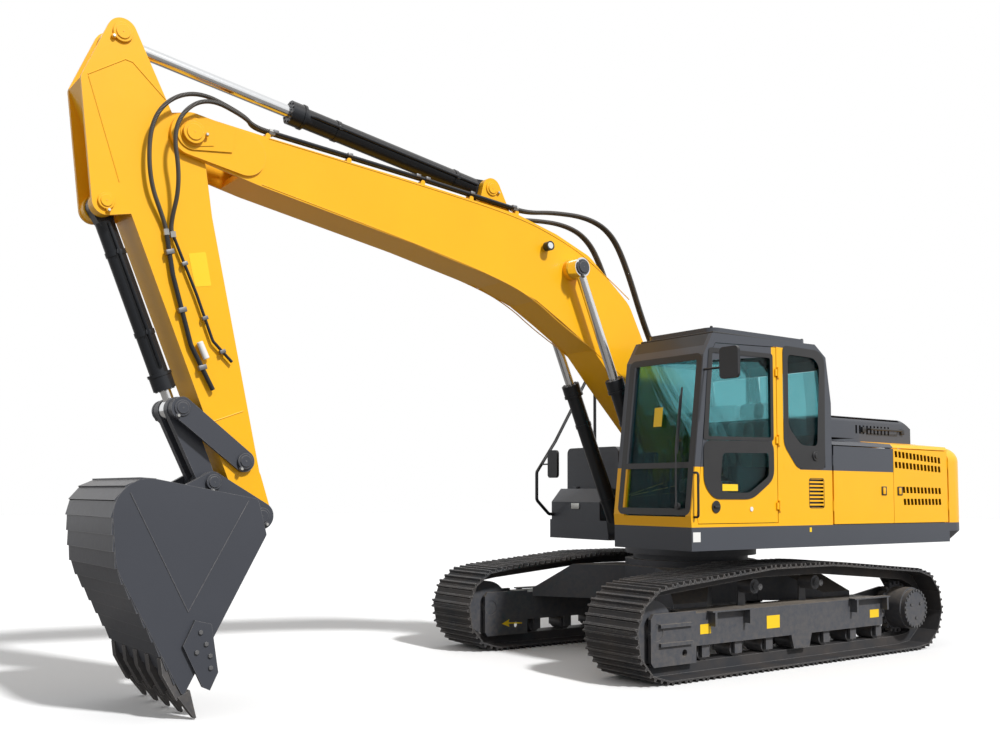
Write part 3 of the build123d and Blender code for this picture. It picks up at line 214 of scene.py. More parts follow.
def paint(name, base, zones=(), dirt=0.25, low_dirt=0.0, gloss=0.34, wear=0.0, coat=0.12):
    """Sprayed paint: colour zones, faint orange peel, dust on top faces and low down, worn corners."""
    finish = Finish(name)
    colours = finish.colours
    colour = rgba(base)
    for zone, other in zones:
        colour = finish.blend(zone(finish.x, finish.y, finish.z), colour, rgba(other))
    cloud = finish.noise(1.6, 5.0, 0.6)
    speck = finish.noise(22.0, 4.0, 0.65)
    tone = finish.node("ShaderNodeHueSaturation", values={"Color": colour})
    finish.feed(tone.inputs["Value"], 0.93 + 0.14 * cloud)
    dust = finish.facing_up() * (cloud * 1.4 + speck * 0.5 - 0.35).held() * dirt
    if low_dirt:
        dust = (dust + (1.0 - finish.z * 0.9).held() * (speck * 1.6 - 0.45).held() * low_dirt).held()
    colour = finish.blend(dust, tone.outputs[0], rgba(colours.dust))
    if wear:
        bare = (finish.edges(0.006) * (speck * 2.2 - 0.5).held() * wear).held()
        colour = finish.blend(bare, colour, rgba(colours.bare_steel))
        finish.set(metallic=bare * 0.8)
    roughness = gloss + 0.1 * speck + 0.35 * dust
    finish.set(base_color=colour, roughness=roughness, coat_weight=coat * (1.0 - dust))
    finish.set(coat_roughness=0.12, specular_ior_level=0.3)
    finish.bump(finish.noise(140.0, 2.0) + 1.5 * finish.noise(9.0, 2.0), 0.06, 0.004)
    return finish.material


def bare_metal(name, colour, roughness=0.2, metallic=1.0, grime=0.2):
    """Machined or plated steel with streaks and a little grime."""
    finish = Finish(name)
    streak = finish.noise(60.0, 3.0, 0.7)
    dull = (finish.noise(5.0, 4.0) * 1.8 - 0.6).held() * grime
    shade = finish.blend(dull, rgba(colour), rgba(c * 0.35 for c in colour))
    roughness = roughness + 0.12 * streak + 0.3 * dull
    finish.set(base_color=shade, metallic=metallic - 0.4 * dull, roughness=roughness)
    finish.bump(streak, 0.05, 0.001)
    return finish.material


def track_steel(name):
    """Shoes: dark rolled steel, polished on the grouser tips, dusty brown in the corners."""
    finish = Finish(name)
    colours = finish.colours
    speck = finish.noise(34.0, 5.0, 0.7)
    cloud = finish.noise(3.0, 4.0, 0.6)
    rust = (cloud * 2.0 - 0.75).held()
    colour = finish.blend(rust, rgba(colours.track_steel), rgba(colours.track_earth))
    polish = finish.edges(0.008) * (speck * 2.0 - 0.4).held()
    colour = finish.blend(polish, colour, rgba(colours.bare_steel))
    roughness = 0.62 - 0.3 * polish + 0.1 * speck
    finish.set(base_color=colour, metallic=0.35 + 0.55 * polish, roughness=roughness)
    finish.bump(speck + cloud, 0.35, 0.004)
    return finish.material


def moulded(name, colour, roughness=0.5, grain=260.0, strength=0.15):
    """Plastic or rubber with a fine moulded grain."""
    finish = Finish(name)
    fleck = finish.noise(grain, 2.0)
    cloud = finish.noise(6.0, 4.0)
    pale = rgba(c * 1.7 + 0.01 for c in colour)
    shade = finish.blend((cloud * 1.6 - 0.5).held() * 0.5, rgba(colour), pale)
    finish.set(base_color=shade, roughness=roughness + 0.15 * cloud)
    finish.bump(fleck, strength, 0.001)
    return finish.material


def ribbed_hose(name):
    """Black hose in a spiral guard: rings along every run, dust in between."""
    finish = Finish(name)
    ring = ((finish.x + finish.z) * 420.0).sine() * 0.5 + 0.5
    cloud = finish.noise(8.0, 4.0)
    rubber, dust = rgba(finish.colours.rubber), rgba(finish.colours.dust)
    shade = finish.blend((1.0 - ring) * 0.45 * cloud, rubber, dust)
    finish.set(base_color=shade, roughness=0.42 + 0.2 * cloud)
    finish.bump(ring, 0.7, 0.003)
    return finish.material


def tinted_glass(name):
    """Teal safety glass, see-through, with faint streaks."""
    finish = Finish(name)
    tint = finish.colours.glass
    streak = finish.noise(2.5, 4.0, 0.7)
    shade = finish.blend(streak, rgba(tint), rgba(c * 0.8 for c in tint))
    finish.set(base_color=shade, roughness=0.01 + 0.02 * streak, alpha=0.6 + 0.08 * streak)
    finish.set(transmission_weight=1.0, ior=1.18)
    return finish.material


def seat_cloth(name):
    """Woven seat cloth with sheen."""
    finish = Finish(name)
    cloth = finish.colours.seat
    weave = (finish.x * 1900.0).sine() * (finish.y * 1900.0).sine() * 0.5 + 0.5
    cloud = finish.noise(12.0, 4.0)
    shade = finish.blend(weave * 0.5 + cloud * 0.3, rgba(cloth), rgba(c * 2.2 for c in cloth))
    finish.set(base_color=shade, roughness=0.85 + 0.1 * cloud, sheen_weight=0.3)
    finish.bump(weave, 0.3, 0.001)
    return finish.material


def dress(node, material):
    """Gives a frame node its material."""
    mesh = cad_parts[node].data
    mesh.materials.clear()
    mesh.materials.append(material)


def finished(bm, name, body, material, smooth=30.0):
    """Turns a bmesh into a piece that rides on a body, or on none yet."""
    bmesh.ops.remove_doubles(bm, verts=bm.verts, dist=1e-6)
    bmesh.ops.recalc_face_normals(bm, faces=bm.faces)
    mesh = bpy.data.meshes.new(name)
    bm.to_mesh(mesh)
    bm.free()
    mesh.materials.append(bpy.data.materials[material])
    mesh.shade_smooth()
    mesh.set_sharp_from_angle(angle=math.radians(smooth))
    piece = bpy.data.objects.new(name, mesh)
    bpy.context.scene.collection.objects.link(piece)
    if body:
        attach(piece, body)
    return piece


def turned(axis):
    """Rotation that lays an upright shape along an axis."""
    return Vector(UP).rotation_difference(Vector(axis)).to_matrix().to_4x4()


def around(radius, count, start=0.0):
    """Offsets of that many places spread round a circle."""
    for i in range(count):
        angle = math.tau * i / count + start
        yield radius * math.cos(angle), radius * math.sin(angle)


def at_y(y, line):
    """Points of a line in x and z, in the plane at y."""
    return [(x, y, z) for x, z in line]


def edges_of(shape):
    """Edges of a new shape, each one once."""
    return list(dict.fromkeys(e for v in shape["verts"] for e in v.link_edges))


def bevelled(bm, geom, offset, segments, affect="EDGES"):
    bmesh.ops.bevel(bm, geom=geom, offset=offset, segments=segments, profile=0.5, affect=affect, material=-1)


def add_mesh(bm, mesh):
    """Moves a mesh's faces into a bmesh."""
    bm.from_mesh(mesh)
    bpy.data.meshes.remove(mesh)


def add_round(bm, centre, axis, radius, depth, sides=28, bevel=0.0, tip=None):
    """Cylinder, cone or, with few sides, a bolt head, centred at a point."""
    place = Matrix.Translation(Vector(centre)) @ turned(axis)
    shape = bmesh.ops.create_cone(
        bm, cap_ends=True, cap_tris=False, segments=sides, radius1=radius,
        radius2=radius if tip is None else tip, depth=depth, matrix=place,
    )
    if bevel:
        rims = [e for e in edges_of(shape) if any(len(f.verts) == sides for f in e.link_faces)]
        bevelled(bm, rims, bevel, 1)


def add_ring(bm, centre, axis, inner, outer, depth, sides=36):
    """Collar with an open middle, round an axis."""
    ring = bmesh.new()
    half = depth / 2
    section = at_y(0, ((inner, -half), (outer, -half), (outer, half), (inner, half)))
    corners = [ring.verts.new(p) for p in section]
    edges = [ring.edges.new((corners[i], corners[(i + 1) % 4])) for i in range(4)]
    bmesh.ops.spin(
        ring, geom=corners + edges, cent=(0, 0, 0), axis=UP, angle=math.tau, steps=sides, use_merge=True
    )
    bmesh.ops.transform(ring, matrix=Matrix.Translation(Vector(centre)) @ turned(axis), verts=ring.verts)
    mesh = bpy.data.meshes.new("ring")
    ring.to_mesh(mesh)
    ring.free()
    add_mesh(bm, mesh)


def add_block(bm, low, high, bevel=0.0, turn=None):
    """Box between two corners, its edges bevelled, turned about its middle."""
    low, high = Vector(low), Vector(high)
    place = Matrix.Translation((low + high) / 2)
    if turn is not None:
        place = place @ turn
    place = place @ Matrix.Diagonal((*(high - low), 1))
    shape = bmesh.ops.create_cube(bm, size=1.0, matrix=place)
    if bevel:
        bevelled(bm, edges_of(shape), bevel, 2)


def add_sheet(bm, points, thickness, corner=0.0, rim=None):
    """Flat plate of that outline with round corners. With rim, only a frame of that width stays."""
    verts = [bm.verts.new(p) for p in points]
    face = bm.faces.new(verts)
    if corner:
        bevelled(bm, verts, corner, 4, "VERTICES")
        face = max((f for f in bm.faces if f.is_valid and not f.tag), key=lambda f: len(f.verts))
    faces = [face]
    if rim:
        faces = bmesh.ops.inset_region(bm, faces=[face], thickness=rim, use_boundary=True)["faces"]
        bmesh.ops.delete(bm, geom=[face], context="FACES")
    bmesh.ops.solidify(bm, geom=faces, thickness=thickness)
    for f in bm.faces:
        f.tag = True


def add_surround(bm, outer, inner, thickness):
    """Flat frame between two outlines with the same number of corners."""
    loops = [[bm.verts.new(p) for p in line] for line in (outer, inner)]
    faces = []
    for i in range(len(outer)):
        j = (i + 1) % len(outer)
        faces.append(bm.faces.new((loops[0][i], loops[0][j], loops[1][j], loops[1][i])))
    bmesh.ops.solidify(bm, geom=faces, thickness=thickness)


def rounded(points, radius, steps=4):
    """Outline in x and z with each corner rounded."""
    line = []
    for i, corner in enumerate(points):
        corner = Vector(corner)
        before, after = Vector(points[i - 1]) - corner, Vector(points[(i + 1) % len(points)]) - corner
        reach = min(radius, before.length * 0.45, after.length * 0.45)
        start, end = corner + before.normalized() * reach, corner + after.normalized() * reach
        for step in range(steps + 1):
            t = step / steps
            line.append(start * (1 - t) ** 2 + corner * 2 * t * (1 - t) + end * t * t)
    return line


def tube_mesh(points, radius, smooth_line, sides):
    """Mesh tube along a smooth line or straight runs."""
    curve = bpy.data.curves.new("tube_run", "CURVE")
    curve.dimensions = "3D"
    curve.bevel_depth = radius
    curve.bevel_resolution = sides
    curve.use_fill_caps = True
    curve.resolution_u = 10
    spline = curve.splines.new("NURBS" if smooth_line else "POLY")
    spline.points.add(len(points) - 1)
    for point, place in zip(spline.points, points):
        point.co = (*place, 1.0)
    if smooth_line:
        spline.order_u = 3
        spline.use_endpoint_u = True
    holder = bpy.data.objects.new("tube_run", curve)
    mesh = bpy.data.meshes.new_from_object(holder)
    bpy.data.objects.remove(holder)
    bpy.data.curves.remove(curve)
    return mesh


def add_tubes(bm, routes, radius, smooth_line=True, sides=3):
    """Adds a tube along each route to a bmesh."""
    for route in routes:
        add_mesh(bm, tube_mesh(route, radius, smooth_line, sides))


def colour_setting(name, description, default):
    return FloatVectorProperty(
        name=name, description=description, subtype="COLOR", default=default, min=0, max=1
    )


def length_setting(name, description, default):
    return FloatProperty(name=name, description=description, default=default, unit="LENGTH")


def angle_setting(name, description, default):
    return FloatProperty(name=name, description=description, default=default, unit="ROTATION")


class ExcavatorColours(bpy.types.PropertyGroup):
    """Paint and material colours."""

    yellow: colour_setting("Yellow", "Machine paint", (0.95, 0.475, 0.008))
    grey: colour_setting("Grey", "Cab, skirt and undercarriage paint", (0.062, 0.068, 0.082))
    gear_grey: colour_setting("Gear grey", "Bucket and linkage paint", (0.052, 0.056, 0.068))
    black: colour_setting("Black", "Cylinders, rails and frames", (0.016, 0.018, 0.022))
    glass: colour_setting("Glass", "Tint of the windows", (0.13, 0.48, 0.52))
    rubber: colour_setting("Rubber", "Hoses and seals", (0.012, 0.012, 0.013))
    seat: colour_setting("Seat", "Seat cloth", (0.16, 0.165, 0.165))
    dust: colour_setting("Dust", "Dust on top faces", (0.33, 0.27, 0.2))
    bare_steel: colour_setting("Bare steel", "Worn corners", (0.42, 0.41, 0.4))
    track_steel: colour_setting("Track steel", "Track shoes", (0.035, 0.037, 0.042))
    track_earth: colour_setting("Track earth", "Dry earth on the shoes", (0.085, 0.07, 0.06))


class ExcavatorSizes(bpy.types.PropertyGroup):
    """Sizes of the added parts."""

    hose_radius: length_setting("Hose radius", "Outside radius of the pressure hoses", 0.0165)
    cap_depth: length_setting("Cap depth", "How far a pin's cap stands proud", 0.012)
    bolt_radius: length_setting("Bolt radius", "Half the width of a bolt head", 0.011)
    weld_radius: length_setting("Weld radius", "Half the width of a weld bead", 0.0045)


class ExcavatorStage(bpy.types.PropertyGroup):
    """Camera and light."""

    camera_place: FloatVectorProperty(
        name="Camera", description="Where the camera stands", subtype="TRANSLATION",
        default=(8.0802, 7.2554, 1.5101),
    )
    camera_yaw: angle_setting("Yaw", "Bearing of the view", -2.1798)
    camera_pitch: angle_setting("Pitch", "View above level", 0.06431)
    camera_roll: angle_setting("Roll", "Tilt of the frame", 0.00573)
    focal_pixels: FloatProperty(name="Focal pixels", description="Focal length in pixels", default=1046.25)
    sun_power: FloatProperty(name="Sun", description="Strength of the sun", default=3.3)
    sky_power: FloatProperty(name="Sky", description="Strength of the sky on the object", default=0.5)
    sun_from: FloatVectorProperty(
        name="Sun from", description="Direction towards the sun", subtype="DIRECTION",
        default=(-0.12, 0.72, 0.68),
    )


class EXCAVATOR_OT_stage(bpy.types.Operator):
    """Sets the camera, the light and the pale floor"""

    bl_idname = "excavator.stage"
    bl_label = "Stage"

    def execute(self, context):
        scene = context.scene
        stage = scene.excavator_stage
        scene.view_settings.view_transform = "Standard"
        width, height, centre_x, centre_y = 1000, 755, 444.07, 426.38
        yaw, pitch = stage.camera_yaw, stage.camera_pitch
        look = Vector((math.cos(pitch) * math.cos(yaw), math.cos(pitch) * math.sin(yaw), math.sin(pitch)))
        data = bpy.data.cameras.new("photo_camera")
        data.sensor_width = 36.0
        data.lens = data.sensor_width * stage.focal_pixels / width
        data.shift_x = (width / 2 - centre_x) / width
        data.shift_y = (centre_y - height / 2) / width
        data.clip_end = 200.0
        camera = bpy.data.objects.new("photo_camera", data)
        scene.collection.objects.link(camera)
        turn = look.to_track_quat("-Z", "Y").to_matrix() @ Matrix.Rotation(stage.camera_roll, 3, "Z")
        camera.matrix_world = Matrix.Translation(stage.camera_place) @ turn.to_4x4()
        scene.camera = camera

        sun = bpy.data.lights.new("sun", "SUN")
        sun.energy = stage.sun_power
        sun.angle = math.radians(5)
        lamp = bpy.data.objects.new("sun", sun)
        lamp.rotation_euler = Vector(stage.sun_from).to_track_quat("Z", "Y").to_euler()
        scene.collection.objects.link(lamp)

        world = bpy.data.worlds.new("studio")
        world.use_nodes = True
        scene.world = world
        tree = world.node_tree
        sky = tree.nodes["Background"]
        sky.inputs["Strength"].default_value = stage.sky_power
        white = tree.nodes.new("ShaderNodeBackground")
        path = tree.nodes.new("ShaderNodeLightPath")
        camera_ray, through, mirrored = (
            Number(tree, path.outputs[f"Is {kind} Ray"]) for kind in ("Camera", "Transmission", "Glossy")
        )
        seen = camera_ray.either(through).either(mirrored)
        pick = tree.nodes.new("ShaderNodeMixShader")
        tree.links.new(seen.socket, pick.inputs[0])
        tree.links.new(sky.outputs[0], pick.inputs[1])
        tree.links.new(white.outputs[0], pick.inputs[2])
        tree.links.new(pick.outputs[0], tree.nodes["World Output"].inputs[0])
        for light in (sky, white):
            light.inputs["Color"].default_value = (1.0, 1.0, 1.0, 1.0)

        bm = bmesh.new()
        bmesh.ops.create_grid(bm, x_segments=1, y_segments=1, size=60.0)
        mesh = bpy.data.meshes.new("floor")
        bm.to_mesh(mesh)
        bm.free()
        floor = bpy.data.objects.new("floor", mesh)
        finish = Finish("pale_floor")
        path = finish.node("ShaderNodeLightPath")
        warm, pale = (0.22, 0.21, 0.2, 1.0), (0.95, 0.95, 0.95, 1.0)
        bounce = finish.blend(path.outputs["Is Camera Ray"], warm, pale)
        finish.set(base_color=bounce, roughness=0.9)
        mesh.materials.append(finish.material)
        scene.collection.objects.link(floor)
        return {"FINISHED"}


class EXCAVATOR_OT_paint(bpy.types.Operator):
    """Gives every frame node its paint or metal"""

    bl_idname = "excavator.paint"
    bl_label = "Paint"

    def execute(self, context):
        c = context.scene.excavator_colours
        yellow, grey, black = tuple(c.yellow), tuple(c.grey), tuple(c.black)

        def above_break(x, y, z):
            return z > PAINT_BREAK

        def below_skirt(x, y, z):
            return z < SKIRT_TOP

        def cab_yellow(x, y, z):
            pillar = between(x, 0.235, 0.42) * (z < 2.83) * (y > 1.30)
            return (z < PAINT_BREAK).either(pillar)

        # Painted shade: every face set back inside the side vent's recess, walls and back, is painted black
        # so the recess looks dark
        def vent_painted_shade(x, y, z):
            return between(x, -0.285, -0.06) * between(z, 1.39, 1.68) * (y < SIDE_Y - 0.002)

        def cab_inside(x, y, z):
            leaning = (z - WINDSHIELD_FOOT[1]).either(0.0)
            return between(y, 0.512, 1.322) * (x > -0.368) * (x + leaning * WINDSHIELD_SLOPE < 1.462)

        def door_yellow(x, y, z):
            return (z < PAINT_BREAK).either(x < 0.445)

        def door_inside(x, y, z):
            return y < 1.33

        def cover_grey(x, y, z):
            return (z > PAINT_BREAK) * (x > COVER_JOINT)

        undercarriage = paint("undercarriage_paint", grey, dirt=0.6, low_dirt=0.35, wear=0.4, gloss=0.42)
        upper_grey = paint("upper_grey_paint", grey, dirt=0.12)
        plain_yellow = paint("yellow_paint", yellow, dirt=0.1)
        gear_yellow = paint("gear_yellow_paint", yellow, dirt=0.12, wear=0.25)
        gear_grey = paint("gear_grey_paint", tuple(c.gear_grey), dirt=0.2, wear=0.6, gloss=0.38)
        black_paint = paint("black_paint", black, dirt=0.15, gloss=0.28)
        chrome = bare_metal("chromed_rod", (0.78, 0.79, 0.8), roughness=0.09, grime=0.12)
        cast = paint(
            "cast_teeth", (0.07, 0.07, 0.075), dirt=0.2, low_dirt=0.25, wear=1.0, gloss=0.5, coat=0.0
        )
        shoes = track_steel("track_shoe_steel")
        interior = moulded("cab_trim_plastic", (0.03, 0.032, 0.035))
        glass = tinted_glass("tinted_glass")
        finishes = {
            undercarriage: "carbody slew_bearing track_frame_left track_frame_right track_rollers"
                           " front_idlers drive_sprockets travel_motors revolving_frame",
            upper_grey: "side_skirts cab_roof hood fuel_tank toolbox toolbox_lid",
            plain_yellow: "left_rear_door pump_door hydraulic_tank",
            gear_yellow: "boom arm",
            gear_grey: "bucket bucket_rockers bucket_link side_cutters",
            black_paint: "boom_cylinder_barrels arm_cylinder_barrel bucket_cylinder_barrel handrails"
                         " exhaust_pipe boom_pipes arm_pipes engine_block mirrors boom_lamp",
            chrome: "boom_cylinder_rods arm_cylinder_rod bucket_cylinder_rod",
            cast: "bucket_teeth",
            shoes: "track_left track_right",
            interior: "consoles",
            glass: "cab_windows cab_door_windows",
        }
        for material, nodes in finishes.items():
            for node in nodes.split():
                dress(node, material)
        # Cab zones: yellow lower paint and pillar, black trim inside, and painted shade in the vent recess
        cab_zones = [(cab_yellow, yellow), (cab_inside, TRIM_BLACK), (vent_painted_shade, black)]
        for node, name, base, zones in (
            ("counterweight", "counterweight_paint", yellow, [(below_skirt, grey)]),
            ("side_covers", "cover_paint", yellow, [(cover_grey, grey)]),
            ("left_front_door", "front_door_paint", yellow, [(above_break, grey)]),
            ("cab_shell", "cab_paint", grey, cab_zones),
            ("cab_door", "cab_door_paint", grey, [(door_yellow, yellow), (door_inside, TRIM_BLACK)]),
        ):
            dress(node, paint(name, base, zones, dirt=0.1))
        seat_cloth("seat_cloth")
        ribbed_hose("ribbed_hose")
        moulded("window_rubber", tuple(c.rubber), roughness=0.38)
        moulded("black_plastic", (0.02, 0.021, 0.023), roughness=0.45)
        moulded("red_knob", (0.55, 0.02, 0.015), roughness=0.35)
        bare_metal("zinc_plate", (0.5, 0.5, 0.48), roughness=0.35, grime=0.5)
        bare_metal("pin_steel", (0.2, 0.2, 0.205), roughness=0.42, grime=0.6)
        bare_metal("mirror_glass", (0.85, 0.87, 0.88), roughness=0.02, grime=0.03)
        paint("white_plate", (0.8, 0.8, 0.78), dirt=0.1)
        paint("yellow_plate", (0.95, 0.62, 0.02), dirt=0.1)
        return {"FINISHED"}


class EXCAVATOR_OT_hoses(bpy.types.Operator):
    """Lays the hoses over the boom's knee and round its nose"""

    bl_idname = "excavator.hoses"
    bl_label = "Hoses"

    def execute(self, context):
        radius = context.scene.excavator_sizes.hose_radius
        knee_route = [
            (2.3697, 4.0150), (2.2506, 4.0038), (1.950, 4.056), (1.522, 4.077), (1.229, 3.980),
            (1.035, 3.706), (0.760, 3.060), (0.393, 2.480), (-0.060, 2.150), (-0.160, 1.500),
            (-0.160, 1.0955),
        ]
        bm = bmesh.new()
        add_tubes(bm, [at_y(y, knee_route) for y in BOOM_PIPES], radius * 0.94)
        knee = finished(bm, "boom_hose_set", None, "ribbed_hose", 60)
        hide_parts("boom_hoses")
        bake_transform(knee)

        pipe_end = [(4.7673, 4.2190), (4.8866, 4.2284)]
        thick_end = [(5.5542, 3.3914), (5.5471, 3.3523)]
        thin_end = [(5.5195, 3.3744), (5.5031, 3.3383)]
        thick_bends = [
            (4.990, 0.215, 4.290), (5.400, 0.262, 4.380), (5.690, 0.262, 4.150), (5.700, 0.240, 3.700),
        ]
        thin_bends = [
            (4.960, 0.230, 4.260), (5.330, 0.305, 4.330), (5.560, 0.305, 4.080), (5.480, 0.290, 3.680),
        ]
        routes = []
        for side in (1, -1):
            bends = [(x, side * y, z) for x, y, z in thick_bends]
            routes.append(at_y(side * BOOM_PIPES[1], pipe_end) + bends + at_y(side * ARM_PIPE, thick_end))
        routes.append(at_y(BOOM_PIPES[0], pipe_end) + thin_bends + at_y(ARM_PIPE, thin_end))
        bm = bmesh.new()
        add_tubes(bm, routes, radius * 0.94)
        nose = finished(bm, "arm_hose_set", None, "ribbed_hose", 60)
        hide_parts("arm_hoses")
        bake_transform(nose)

        bm = bmesh.new()
        for y in BOOM_PIPES:
            add_round(bm, (2.39, y, 4.0170), (-0.9956, 0, -0.0938), radius * 1.35, 0.05, 6, 0.002)
            add_round(bm, (4.74, y, 4.2170), (0.9969, 0, 0.0784), radius * 1.35, 0.05, 6, 0.002)
        finished(bm, "boom_hose_nuts", "boom", "zinc_plate")
        bm = bmesh.new()
        for x, z, ys in ((5.5435, 3.331, (ARM_PIPE, -ARM_PIPE)), (5.4955, 3.321, (ARM_PIPE,))):
            for y in ys:
                add_round(bm, (x, y, z), (-0.179, 0, -0.984), radius * 1.3, 0.045, 6, 0.002)
        finished(bm, "arm_hose_nuts", "arm", "zinc_plate")
        return {"FINISHED"}


class EXCAVATOR_OT_pins(bpy.types.Operator):
    """Caps the ends of the pins and bolts them"""

    bl_idname = "excavator.pins"
    bl_label = "Pin caps"

    def execute(self, context):
        sizes = context.scene.excavator_sizes
        # body: x and z of the pin, y of its outer face, cap radius, direction of its keeper bolt in degrees
        pins = {
            "house": [(0.170, 1.770, 0.222, 0.075, 200), (0.700, 1.150, 0.367, 0.062, 90)],
            "boom": [
                (5.374, 4.067, 0.246, 0.082, 180), (1.762, 3.546, 0.356, 0.072, 270),
                (2.610, 4.168, 0.120, 0.062, 200),
            ],
            "arm": [
                (5.876, 4.694, 0.172, 0.07, 325), (5.960, 3.491, 0.172, 0.058, 255),
                (4.924, 1.737, 0.214, 0.058, 300),
            ],
            "bucket": [(4.790, 1.340, 0.225, 0.062, 240), (5.166, 1.584, 0.225, 0.056, 280)],
            "rockers": [(5.400, 2.101, 0.202, 0.058, 300)],
        }
        yellow_ends = {(5.374, 4.067), (5.876, 4.694), (5.960, 3.491), (0.170, 1.770), (2.610, 4.168)}

        def keeper_spot(pin, side, lift):
            x, z, face, radius, keeper = pin
            turn, reach = math.radians(keeper), radius * 1.12
            return x + reach * math.cos(turn), side * (face + lift), z + reach * math.sin(turn)

        for body, places in pins.items():
            for shade in ("yellow", "dark"):
                chosen = [pin for pin in places if (pin[:2] in yellow_ends) == (shade == "yellow")]
                if not chosen:
                    continue
                bm = bmesh.new()
                for pin in chosen:
                    x, z, face, radius, keeper = pin
                    for side in (1, -1):
                        depth, axis = sizes.cap_depth, (0, side, 0)
                        outer = face + depth
                        add_round(bm, (x, side * (face + depth / 2), z), axis, radius, depth, 36, 0.003)
                        add_round(bm, (x, side * (outer + 0.004), z), axis, radius * 0.72, 0.01, 32, 0.003)
                        add_round(bm, (x, side * (outer + 0.010), z), axis, 0.004, 0.004, 10)
                        add_round(bm, keeper_spot(pin, side, 0.008), axis, 0.017, 0.018, 18, 0.002)
                coat = "gear_yellow_paint" if shade == "yellow" else "gear_grey_paint"
                finished(bm, f"pin_caps_{body}_{shade}", body, coat)
            bm = bmesh.new()
            for pin in places:
                for side in (1, -1):
                    spot = keeper_spot(pin, side, 0.021)
                    add_round(bm, spot, (0, side, 0), sizes.bolt_radius, 0.009, 6, 0.001)
            finished(bm, f"keeper_bolts_{body}", body, "zinc_plate")
        return {"FINISHED"}


class EXCAVATOR_OT_cylinders(bpy.types.Operator):
    """Adds the glands, bolts, clamps and feed pipes of the cylinders"""

    bl_idname = "excavator.cylinders"
    bl_label = "Cylinder trim"

    def execute(self, context):
        # body: x and z of the base and rod pins, barrel length and radius, centre y, side of the feed pipe
        cylinders = {
            "boom_barrels": [
                ((0.700, 1.150), (1.762, 3.546), 1.550, 0.072, 0.300, 1),
                ((0.700, 1.150), (1.762, 3.546), 1.550, 0.072, -0.300, -1),
            ],
            "arm_barrel": [((2.610, 4.168), (5.876, 4.694), 1.929, 0.080, 0.0, 1)],
            "bucket_barrel": [((5.960, 3.491), (5.400, 2.101), 1.345, 0.068, 0.0, 1)],
        }
        gland_length = 0.1
        for body, places in cylinders.items():
            bm = bmesh.new()
            bolts = bmesh.new()
            for base, rod, length, radius, y, side in places:
                base = Vector((base[0], y, base[1]))
                along = (Vector((rod[0], y, rod[1])) - base).normalized()
                across = Vector((0, side, 0))
                up = along.cross(across)

                def on(reach, out=0.0, lift=0.0):
                    return base + along * reach + across * out + up * lift

                inner = radius - 0.004
                add_ring(bm, on(length - gland_length / 2), along, inner, radius + 0.014, gland_length)
                add_ring(bm, on(length - gland_length - 0.012), along, inner, radius + 0.020, 0.022)
                for reach in (0.34, length - 0.42):
                    add_ring(bm, on(reach), along, inner, radius + 0.006, 0.035)
                    clamp, half = on(reach, radius + 0.012), Vector((0.018, 0.012, 0.018))
                    add_block(bm, clamp - half, clamp + half, 0.003)
                feed = [
                    on(0.14, radius - 0.01), on(0.14, radius + 0.018),
                    on(length - 0.19, radius + 0.018), on(length - 0.16, radius + 0.002),
                ]
                add_tubes(bm, [feed], 0.012, False)
                for out, lift in around(inner, 10, math.pi / 10):
                    add_round(bolts, on(length + 0.003, out, lift), along, 0.0095, 0.01, 6)
            finished(bm, f"{body}_glands", body, "black_paint")
            finished(bolts, f"{body}_bolts", body, "pin_steel")
        return {"FINISHED"}


